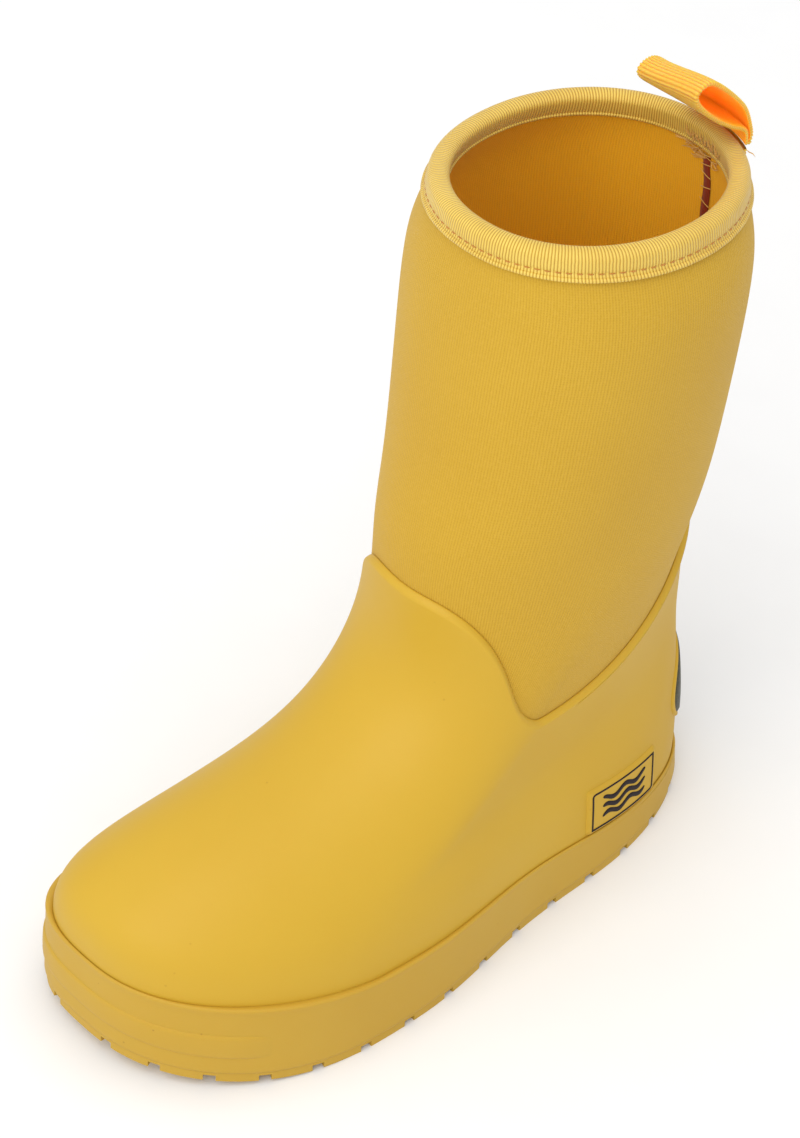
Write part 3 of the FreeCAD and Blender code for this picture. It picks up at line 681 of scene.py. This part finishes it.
# ---------------- upper
def foot_shell():
    """The moulded rubber foot: up its outside, over its rounded top edge, down its inside."""
    a = full_turn(RUBBER_COLUMNS)
    edge = seam_at(a)
    length = level_length(a, edge)
    # Millimetres past the edge, and offset from the skin.
    rounding = [(-1.3, RUBBER), (-0.8, RUBBER - 0.06), (-0.35, RUBBER - 0.3),
                (0.1, RUBBER - 0.75), (0.45, 0.8), (0.65, 0.4), (0.6, 0.08), (0.0, 0.02)]
    inner = 0.2
    grid = [layer(a, edge * t, RUBBER) for t in np.linspace(0.0, 1.0, 150)[:-1]]
    grid += [layer(a, edge + past / length, offset) for past, offset in rounding]
    grid += [layer(a, edge * t, inner) for t in np.linspace(0.99, 0.0, 75)]
    return grid_piece("foot_shell_rubber", np.array(grid), upper_rubber, "foot",
                      ("foot_shell",), wrap_rows=True)


def soft_swell(a, level):
    """Gentle unevenness of the soft shaft, in millimetres, fading out at both ends."""
    swell = np.sin(2.0 * a + 0.9 * level) * 0.35 + np.sin(3.0 * a - 1.7 * level + 1.0) * 0.22
    low_level, high_level, fade = 6.6, 11.0, 1.2
    rise = smooth_step((level - low_level) / fade) * smooth_step((high_level - level) / fade)
    return swell * rise


def neoprene_sock():
    """The neoprene from the feather line to the binding, in one piece."""
    a = full_turn(240)
    levels = np.concatenate([np.linspace(0.0, 5.0, 50), np.linspace(5.1, SOFT_TOP, 90)])
    outside = [layer(a, level, soft_swell(a, level)) for level in levels]
    inside = [layer(a, level, -NEOPRENE) for level in levels[::-2]]
    grid = np.array(outside + inside)
    run = lengths_along(grid[:, 60])
    return grid_piece("neoprene_sock", grid, neoprene_knit, None,
                      ("foot_neoprene", "flex_zone_neoprene", "shaft_panel"), wrap_rows=True,
                      v=np.append(run, run[-1] + 1.0))


def inner_lining():
    """The knitted lining of foot and shaft, in one piece."""
    a = full_turn(160)
    levels = np.linspace(0.05, SOFT_TOP, 110)
    depth = FOOT_LINING + (LINING - FOOT_LINING) * smooth_step((levels - 6.0) / 1.5)
    inside = [layer(a, level, -deep + soft_swell(a, level) * 0.6)
              for level, deep in zip(levels, depth)]
    outside = [layer(a, level, -deep + LINING_THICKNESS)
               for level, deep in zip(levels[::-2], depth[::-2])]
    grid = np.array(inside + outside)
    run = lengths_along(grid[:, 40])
    return grid_piece("inner_lining", grid, lining_knit, None,
                      ("foot_lining", "flex_zone_lining", "shaft_lining"), wrap_rows=True,
                      v=np.append(run, run[-1] + 1.0))


# ---------------- collar
BINDING_OUTER = 1.0  # the binding's faces, outward from the collar's ring
BINDING_INNER = -4.5
STITCH_LINE = 5.45  # the stitch row, down from the collar's ring


def collar_binding():
    """Ribbed tape folded over the collar's edge, softly rounded on top."""
    a = full_turn(480)
    half = (BINDING_OUTER - BINDING_INNER) / 2.0
    middle = (BINDING_OUTER + BINDING_INNER) / 2.0
    # Millimetres outward from the collar's top ring, and down the shaft from it.
    profile = [(0.25, 6.9), (0.45, 7.05), (0.8, 6.9), (BINDING_OUTER, 6.2),
               (BINDING_OUTER - 0.16, 5.75), (BINDING_OUTER - 0.3, STITCH_LINE),
               (BINDING_OUTER - 0.1, 5.1), (BINDING_OUTER + 0.08, 4.6),
               (BINDING_OUTER + 0.14, 3.8)]
    crown = 2.6
    crown_square = 2.25
    for turn in np.radians(np.linspace(0.0, 180.0, 17)):
        reach_c = math.copysign(abs(math.cos(turn)) ** (2 / crown_square), math.cos(turn))
        reach_s = abs(math.sin(turn)) ** (2 / crown_square)
        profile.append((middle + (half + 0.1) * reach_c, crown - crown * reach_s))
    profile += [(BINDING_INNER - 0.05, 4.2), (BINDING_INNER, 5.6), (BINDING_INNER + 0.2, 6.6),
                (BINDING_INNER + 0.6, 6.8), (-3.6, 6.0), (-3.6, 1.6), (0.2, 1.6), (0.2, 6.0)]
    grid = np.array([collar_point(a, outward, below) for outward, below in profile])
    return grid_piece("collar_binding_tape", grid, binding_tape, "shaft",
                      ("collar_binding",), wrap_rows=True)


def rope_ring(name, outward, below, radius, strands):
    """A beaded selvedge: a thin cord round the collar whose surface swells in a twist."""
    a = full_turn(960)
    turn = full_turn(8)
    swell = 1.0 + 0.22 * np.abs(np.sin(a[None, :] * strands / 2.0 + turn[:, None] * 0.5))
    grid = np.array([collar_point(a, outward + radius * swell[i] * math.cos(t),
                                  below - radius * swell[i] * math.sin(t))
                     for i, t in enumerate(turn)])
    return grid_piece(name, grid, binding_tape, "shaft", wrap_rows=True)


def stitch_ring():
    """Dashes sunk into the binding and highest in their middle, left out behind the loop."""
    paths = []
    dashes = 96
    dash_share = 0.62  # the rest of each step is the gap between dashes
    span = 2.0 * math.pi / dashes * dash_share
    loop_middle = 178.0  # degrees from the toe
    loop_reach = 13.0
    t = np.linspace(0.0, 1.0, 7)
    proud = BINDING_OUTER - 0.3 + 0.16 * np.sin(math.pi * t)
    for start in full_turn(dashes):
        if abs(math.degrees(start) - loop_middle) < loop_reach:
            continue
        paths.append(collar_point(start + span * t, proud, STITCH_LINE))
    return threads_piece("binding_stitch_row", paths, 0.17, stitch_thread, "shaft",
                         ("binding_stitches",))


# ---------------- pull loop
LOOP_WIDTH = 20.0
WEBBING = 1.3
RIB_PITCH = 0.95
# Centre lines of the loop's outer and inner ends seen from the side, as (y, z) steps from
# the hinge. The inner end is pressed a little flatter.
LOOP_OUTER_END = [(0.2, -0.6), (0.0, 3.2), (-4.8, 10.9), (-11.2, 18.4), (-18.2, 24.8),
                  (-22.2, 25.6), (-24.6, 23.6), (-22.9, 19.9), (-17.3, 14.0), (-10.6, 8.7),
                  (-5.2, 6.1), (-2.0, 3.8), (-0.8, -0.3)]
LOOP_INNER_END = [(0.2, -0.6), (-0.4, 3.2), (-5.7, 10.0), (-12.0, 16.5), (-18.8, 22.5),
                  (-22.8, 23.5), (-25.2, 21.9), (-23.4, 18.9), (-17.3, 13.8), (-10.8, 8.9),
                  (-5.5, 6.1), (-2.0, 3.8), (-0.8, -0.3)]


def smooth_path(points, count):
    """Evenly spaced points along a Catmull-Rom curve through the given points."""
    p = np.array(points, float)
    p = np.vstack([2 * p[0] - p[1], p, 2 * p[-1] - p[-2]])
    fine = []
    for i in range(1, len(p) - 2):
        for t in np.linspace(0.0, 1.0, 24, endpoint=False):
            fine.append(0.5 * (2 * p[i] + (p[i + 1] - p[i - 1]) * t
                               + (2 * p[i - 1] - 5 * p[i] + 4 * p[i + 1] - p[i + 2]) * t ** 2
                               + (3 * p[i] - p[i - 1] - 3 * p[i + 1] + p[i + 2]) * t ** 3))
    fine = np.array(fine + [p[-2]])
    run = lengths_along(fine)
    even = np.linspace(0.0, run[-1], count)
    return np.stack([np.interp(even, run, fine[:, k]) for k in range(p.shape[1])], axis=1)


def collar_back(x, outward, below):
    """A point on the back of the collar at a given x."""
    angle = math.pi - np.arcsin(x / STATIONS[-1, 4])
    return collar_point(angle, outward, below)


def collar_curve(x):
    """How far the collar's back curves forward at x, compared with the back seam."""
    here, seam = collar_back(np.array([x, BACK_SEAM_X]), 0.0, 4.0)[:, 1]
    return here - seam


def ribbed_strip(lines, ribs, thickness, rib_height):
    """A closed strip of webbing from lines of (share across, x, (y, z) centre line).

    Ribs run straight across the strip and end in a bead at both edges.
    """
    bead_height = 0.14
    bead_start, bead_run = 0.93, 0.05
    round_start, round_run = 0.955, 0.045
    outside, inside = [], []
    for w, x, path in lines:
        tangent = unit(np.gradient(path, axis=0))
        across = np.stack([-tangent[:, 1], tangent[:, 0]], axis=1)
        rib = 0.5 - 0.5 * np.cos(2.0 * math.pi * ribs * np.linspace(0.0, 1.0, len(path)))
        bead = bead_height * smooth_step((abs(w) - bead_start) / bead_run)
        rounded = max((abs(w) - round_start) / round_run, 0.0)
        close = math.sqrt(max(1.0 - rounded ** 2, 0.0))
        thick = (thickness / 2.0 - rib_height + rib_height * rib + bead * rib) * close
        reach = x + bead * np.sign(w) * (rib - 0.5)
        for rows, side in ((outside, 1.0), (inside, -1.0)):
            flat = path + across * (side * thick)[:, None]
            rows.append(np.stack([reach, flat[:, 0], flat[:, 1]], axis=1))
    return np.concatenate([np.array(outside), np.array(inside)[::-1][1:-1]])


STRIP_SHARES = np.concatenate([[-1.0, -0.985, -0.955], np.linspace(-0.92, 0.92, 15),
                               [0.955, 0.985, 1.0]])


def strip_v():
    """UV places of a strip's rows, out over one face and back over the other."""
    v = np.concatenate([STRIP_SHARES, STRIP_SHARES[::-1][1:-1]]) * 0.5 + 0.5
    return np.append(v, v[0])


def pull_loop():
    """The folded webbing, curved round the collar at its root."""
    count = 8 * LOOP_RIBS + 1
    outer_end = smooth_path(LOOP_OUTER_END, count)
    inner_end = smooth_path(LOOP_INNER_END, count)
    share = np.linspace(0.0, 1.0, count)
    root_share = 0.22
    near_root = smooth_step((root_share - np.minimum(share, 1.0 - share)) / root_share)
    lines = []
    for w in STRIP_SHARES:
        x = BACK_SEAM_X + LOOP_WIDTH / 2.0 * w
        mix = smooth_step(w * 0.5 + 0.5)
        path = outer_end * mix + inner_end * (1.0 - mix) + np.array(LOOP_HINGE)
        path[:, 0] += 0.8 * collar_curve(x) * near_root
        lines.append((w, x, path))
    grid = ribbed_strip(lines, LOOP_RIBS, WEBBING, rib_height=0.22)
    piece = grid_piece("pull_loop_webbing", grid, [webbing_outer, webbing_inner_painted_glow], "pull_loop",
                       ("pull_loop",), wrap_rows=True, wrap_columns=False,
                       u=share, v=strip_v())
    # The faces that look into the eye, but not the strip's two edges, get the brighter, more orange
    # webbing with a painted glow: painted light caught in the loop.
    middle = outer_end.mean(axis=0) + np.array(LOOP_HINGE)
    for polygon in piece.data.polygons:
        away = middle - (np.array(polygon.center) / MM - SHIFT)[1:]
        facing_in = polygon.normal[1] * away[0] + polygon.normal[2] * away[1] > 0.0
        if facing_in and abs(polygon.normal[0]) < 0.6:
            polygon.material_index = 1


def loop_anchor():
    """The sewn tail of the webbing, wrapped against the outside of the binding."""
    top = LOOP_HINGE[1] - 1.5
    tail_length = 4.4
    run = np.linspace(0.0, tail_length, 60)
    lines = []
    for w in STRIP_SHARES:
        x = BACK_SEAM_X + LOOP_WIDTH / 2.0 * w
        y = LOOP_HINGE[0] - 0.5 + collar_curve(x) - run * 0.1
        lines.append((w, x, np.stack([y, top - run], axis=1)))
    ribs = tail_length / RIB_PITCH
    grid = ribbed_strip(lines, ribs, thickness=1.2, rib_height=0.18)
    return grid_piece("loop_tail_webbing", grid, webbing_outer, "shaft",
                      ("loop_anchor",), wrap_rows=True, wrap_columns=False,
                      u=np.linspace(0.0, ribs / LOOP_RIBS, 60), v=strip_v())


# ---------------- back seam inside the shaft
def back_spot(x, level, offset):
    """Points on the back of the boot at a given x, beside the skin by offset."""
    half_width = np.interp(level, np.arange(TOP + 1), STATIONS[:, 4])
    return layer(math.pi - np.arcsin(x / half_width), level, offset)


def back_seam_tape():
    """The dark strip over the seam: domed, and wandering a little from side to side."""
    levels = np.linspace(8.95, TOP - 1.12, 60)
    half_width = 1.5
    xs = np.linspace(-half_width, half_width, 9)
    dome = -LINING - 0.12 - 0.34 * (1.0 - (xs / 1.6) ** 2)
    rows = []
    for level in levels:
        drift = 0.25 * math.sin(level * 7.0)
        rows.append(back_spot(BACK_SEAM_X + xs + drift, level, dome))
    grid = np.array(rows)
    return grid_piece("back_seam_strip", grid, seam_tape, "shaft",
                      ("back_seam_tape",), wrap_columns=False)


def back_seam_stitches():
    """Short threads across the strip, and a few loose ones that run out to its sides."""
    noise = np.random.default_rng(3)
    paths = []
    t = np.linspace(0.0, 1.0, 9)
    for i, level in enumerate(np.linspace(9.05, TOP - 1.2, 8)):
        side = 1.0 if i % 2 else -1.0
        x = BACK_SEAM_X + side * (2.3 - 4.6 * t) + noise.uniform(-0.3, 0.3)
        rise = level + (0.09 + noise.uniform(-0.03, 0.03)) * t
        paths.append(back_spot(x, rise, -LINING - 0.4 - 0.28 * np.sin(math.pi * t)))
    loose_threads = 9
    for i in range(loose_threads):
        side = -1.0 if i % 3 else 1.0
        x = BACK_SEAM_X + side * (1.6 + noise.uniform(3.0, 6.0) * t)
        level = 10.72 + noise.uniform(-0.12, 0.12) + 0.05 * np.sin(4.0 * t + i)
        paths.append(back_spot(x, level, -LINING - 0.2 - 0.35 * np.sin(math.pi * t)))
    return threads_piece("back_seam_threads", paths, 0.12, seam_thread, "shaft",
                         ("back_seam_stitches",))


def loop_bar_tack():
    """A tangle of zig-zag stitching inside the binding under the loop, with loose ends."""
    noise = np.random.default_rng(7)
    paths = []
    t = np.linspace(0.0, 1.0, 9)
    tack_half_width = 7.0
    for place in np.linspace(-tack_half_width, tack_half_width, 30):
        x = BACK_SEAM_X + place + noise.uniform(-0.6, 0.6)
        xs = x + (t - 0.5) * noise.uniform(-3.0, 3.0)
        start = 3.4 + noise.uniform(-0.8, 0.8)
        below = start + t * noise.uniform(1.5, 3.6)
        paths.append(collar_back(xs, BINDING_INNER - 0.1 - 0.25 * np.sin(math.pi * t), below))
    hanging_threads = 26
    for _ in range(hanging_threads):
        x = BACK_SEAM_X + noise.uniform(-7.5, 5.0)
        xs = x + noise.uniform(-5.5, 2.5) * t + noise.uniform(-0.5, 0.5) * np.sin(5.0 * t)
        below = 6.6 + noise.uniform(-0.4, 2.6) + noise.uniform(-0.8, 1.2) * t
        hang = -LINING - 0.3 - noise.uniform(0.2, 1.4) * np.sin(0.5 * math.pi * t)
        paths.append(collar_back(xs, hang, below))
    # One end pokes out past the loop's edge; the points are steps from the hinge.
    loose_end = np.array([[8.6, -2.7, -2.3], [10.3, -2.8, -2.6], [11.5, -2.7, -2.5],
                          [12.6, -2.8, -2.9]])
    paths.append(loose_end + np.array([BACK_SEAM_X, *LOOP_HINGE]))
    return threads_piece("loop_tack_threads", paths, 0.14, seam_thread, "shaft",
                         ("loop_bar_tack",), sides=6)


# ---------------- label and badge
LABEL = {"front": 41.0, "length": 30.0, "low": 17.9, "height": 15.6, "fall": 3.4}
PLATE_TOP = RUBBER + 0.95


def skin_spots(y, z):
    """Angles and levels of the skin's points at y and z on the outer side."""
    def is_ahead(angle):
        return skin(angle, level_at_height(angle, z))[..., 1] < y

    angle = bisect(0.4 * math.pi, 0.98 * math.pi, is_ahead, y)
    return angle, level_at_height(angle, z)


def label_points(along, up, offset):
    """Points on the label at shares of its length and height, above the skin by offset."""
    y = LABEL["front"] + LABEL["length"] * along
    z = LABEL["low"] - LABEL["fall"] * along + LABEL["height"] * up
    angle, level = skin_spots(y, z)
    return layer(angle, level, offset)


def side_label():
    """A raised rubber plate with softly rounded edges."""
    along = np.linspace(0.0, 1.0, 41)
    up = np.linspace(0.0, 1.0, 25)
    a, b = np.meshgrid(along, up)
    rim = np.minimum(np.minimum(a, 1 - a) * LABEL["length"],
                     np.minimum(b, 1 - b) * LABEL["height"])
    edge_width = 0.8
    sunk = 0.1
    lift = smooth_step(rim / edge_width)
    offset = RUBBER - sunk + (PLATE_TOP - RUBBER + sunk) * lift
    grid = label_points(a, b, offset)
    return grid_piece("side_label_plate", grid, upper_rubber, "foot",
                      ("side_label",), wrap_columns=False)


def rounded_frame(left, right, low, high, corner_x, corner_z):
    """Outline of a frame in label shares: two opposite corners round, two pointed."""
    outline = []
    steps = 8
    corners = [(right, high, False, 0), (left, high, True, 90), (left, low, False, 180),
               (right, low, True, 270)]
    for x, z, is_round, start in corners:
        cx = x - corner_x if start in (0, 270) else x + corner_x
        cz = z - corner_z if start in (0, 90) else z + corner_z
        if not is_round:
            outline.append((x, z))
            continue
        for k in range(steps + 1):
            turn = math.radians(start + 90.0 * k / steps)
            outline.append((cx + corner_x * math.cos(turn), cz + corner_z * math.sin(turn)))
    return np.array(outline)


def even_outline(outline, count):
    """Points at even distances round an outline given in label shares."""
    closed = np.vstack([outline, outline[:1]])
    scaled = closed * np.array([LABEL["length"], LABEL["height"]])
    run = lengths_along(scaled)
    even = np.linspace(0.0, run[-1], count, endpoint=False)
    return np.stack([np.interp(even, run, closed[:, k]) for k in range(2)], axis=1)


def side_label_print():
    """A thin frame line and three rising waves as a neutral mark."""
    top = PLATE_TOP + 0.16
    sunk = PLATE_TOP - 0.1
    points, faces, uvs = [], [], []

    def add_band(lines, closed):
        """A raised band across the given lines; its first and last line lie in the plate."""
        start = sum(len(p) for p in points)
        depths = [sunk] + [top] * (len(lines) - 2) + [sunk]
        grid = np.array([label_points(line[:, 0], line[:, 1], depth)
                         for line, depth in zip(lines, depths)])
        points.append(grid.reshape(-1, 3))
        index, place = grid_faces(len(lines), len(lines[0]), False, closed)
        faces.extend((index + start).tolist())
        uvs.append(place.reshape(-1, 2) / 50.0)

    line_width = 0.56
    line_x = line_width / LABEL["length"]
    line_z = line_width / LABEL["height"]
    outer = rounded_frame(0.05, 0.95, 0.08, 0.92, 0.035, 0.07)
    inner = rounded_frame(0.05 + line_x, 0.95 - line_x, 0.08 + line_z, 0.92 - line_z, 0.02, 0.04)
    outer, inner = even_outline(outer, 200), even_outline(inner, 200)
    edge = (inner - outer) * 0.04
    add_band([outer, outer + edge, inner - edge, inner], True)
    t = np.linspace(0.0, 1.0, 60)
    waves = 3
    for i in range(waves):
        x = 0.19 + 0.62 * t
        middle = 0.31 + 0.19 * i + 0.055 * np.sin(2.0 * math.pi * (2.0 * t + 0.12 * i))
        half = 0.052 * np.sqrt(np.clip(1.0 - (2.0 * t - 1.0) ** 8, 0.0, 1.0)) + 0.002
        lines = [np.stack([x, middle + half * k], axis=1) for k in (-1.0, -0.93, 0.0, 0.93, 1.0)]
        add_band(lines, False)
    piece = new_piece("side_label_mark", np.concatenate(points), faces, np.concatenate(uvs), ink,
                      "foot", ("side_label_print",))
    face_outwards(piece)


BADGE = {"half_width": 19.5, "low": 15.7, "high": 49.3}


def badge_ring(spread, offset):
    """A ring of an oval on the back of the heel, spread times the badge's size."""
    turn = full_turn(96)
    half = (BADGE["high"] - BADGE["low"]) / 2.0 * spread
    z = (BADGE["high"] + BADGE["low"]) / 2.0 + half * np.sin(turn)
    x = BADGE["half_width"] * spread * np.cos(turn)

    def is_outside(angle):
        return skin(angle, level_at_height(angle, z))[..., 0] > x

    angle = bisect(math.pi * 0.7, math.pi * 1.3, is_outside, x)
    return layer(angle, level_at_height(angle, z), offset)


def heel_badge():
    """The badge's lens: a short upright edge, then a low dome."""
    edge_profile = [(1.0, -0.1), (1.0, 0.5), (0.985, 0.85)]
    rows = [badge_ring(spread, RUBBER + up) for spread, up in edge_profile]
    middle_height, dome = 2.1, 0.95
    for spread in np.linspace(0.95, 0.04, 18):
        rows.append(badge_ring(spread, RUBBER + middle_height - dome * spread ** 2))
    return grid_piece("heel_badge_lens", np.array(rows), badge, "foot", ("heel_badge",))


def heel_badge_rim():
    """A thin raised lip of rubber round the badge."""
    profile = [(1.0, -0.1), (1.004, 0.5), (1.012, 0.72), (1.025, 0.76), (1.04, 0.62),
               (1.05, 0.3), (1.055, -0.1)]
    rows = [badge_ring(spread, RUBBER + up) for spread, up in profile]
    return grid_piece("heel_badge_edge", np.array(rows), upper_rubber, "foot",
                      ("heel_badge_rim",))


# ---------------- CAD pieces that stay
def keep_cad(node, material):
    """Show a CAD node itself, in a material of its own and with crisp edges."""
    piece = frame["nodes"][node]
    piece.data.materials.clear()
    piece.data.materials.append(material)
    for polygon in piece.data.polygons:
        polygon.use_smooth = True
    edge_split = piece.modifiers.new("edges", "EDGE_SPLIT")
    edge_split.split_angle = math.radians(30.0)


KEPT_NODES = {"outsole": sole_rubber, "midsole": sole_rubber, "insole_board": fibre_board,
              "footbed_foam": foam, "footbed_cover": footbed_knit, "toe_stiffener": fibre_board,
              "heel_counter": fibre_board}
for node, material in KEPT_NODES.items():
    keep_cad(node, material)

foxing_band()
toe_bumper()
foot_shell()
sock = neoprene_sock()
lining = inner_lining()
collar_binding()
rope_ring("binding_selvedge_outer", BINDING_OUTER + 0.05, below=6.75, radius=0.42, strands=330)
rope_ring("binding_selvedge_inner", BINDING_INNER - 0.05, below=6.3, radius=0.4, strands=300)
stitch_ring()
pull_loop()
loop_anchor()
back_seam_tape()
back_seam_stitches()
loop_bar_tack()
side_label()
side_label_print()
heel_badge()
heel_badge_rim()

# The soft layers' placing is baked into their meshes.
for soft in (sock, lining):
    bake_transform(soft)


# ---------------- floor, light and camera
def floor():
    m = Nodes("pale_floor")
    grain = m.noise(40.0, 3.0)
    tint = m.mix(grain, (0.86, 0.86, 0.86, 1.0), (0.89, 0.89, 0.89, 1.0))
    m.finish(tint, 0.9, None, Specular_IOR_Level=0.1)
    bpy.ops.mesh.primitive_plane_add(size=12.0, location=(0.0, 0.0, 0.0))
    plane = bpy.context.object
    plane.name = "floor"
    plane.data.materials.append(m.material)


def area_light(name, place, aim, size, power):
    data = bpy.data.lights.new(name, "AREA")
    data.size = size
    data.energy = power
    light = bpy.data.objects.new(name, data)
    bpy.context.scene.collection.objects.link(light)
    light.location = place
    light.rotation_euler = (Vector(aim) - Vector(place)).to_track_quat("-Z", "Y").to_euler()


def white_world():
    world = bpy.data.worlds.new("studio")
    world.use_nodes = True
    background = world.node_tree.nodes["Background"]
    background.inputs["Color"].default_value = (1.0, 1.0, 1.0, 1.0)
    background.inputs["Strength"].default_value = 0.74
    bpy.context.scene.world = world


def camera():
    """A view from the toe's outer side, well above, with a slight roll."""
    azimuth, elevation, roll = math.radians(44.85), math.radians(41.53), math.radians(3.18)
    distance = 1.0587
    focal_widths = 5.14  # focal length in image widths
    aim = (Vector((-0.9, -3.0, 118.8)) + Vector(SHIFT)) * MM
    back = Vector((math.sin(azimuth) * math.cos(elevation),
                   -math.cos(azimuth) * math.cos(elevation), math.sin(elevation)))
    data = bpy.data.cameras.new("camera")
    data.sensor_fit = "HORIZONTAL"
    data.lens = data.sensor_width * focal_widths
    eye = bpy.data.objects.new("camera", data)
    bpy.context.scene.collection.objects.link(eye)
    turn = back.to_track_quat("Z", "Y").to_matrix().to_4x4() @ Matrix.Rotation(roll, 4, "Z")
    eye.matrix_world = Matrix.Translation(aim + back * distance) @ turn
    bpy.context.scene.camera = eye


floor()
centre = (cad_low + cad_high) / 2.0
area_light("key", centre + Vector((0.45, -1.4, 1.5)), centre, size=2.0, power=26.0)
area_light("top", centre + Vector((0.1, 0.1, 1.9)), centre, size=1.8, power=10.0)
white_world()
bpy.context.scene.view_settings.view_transform = "Standard"
camera()
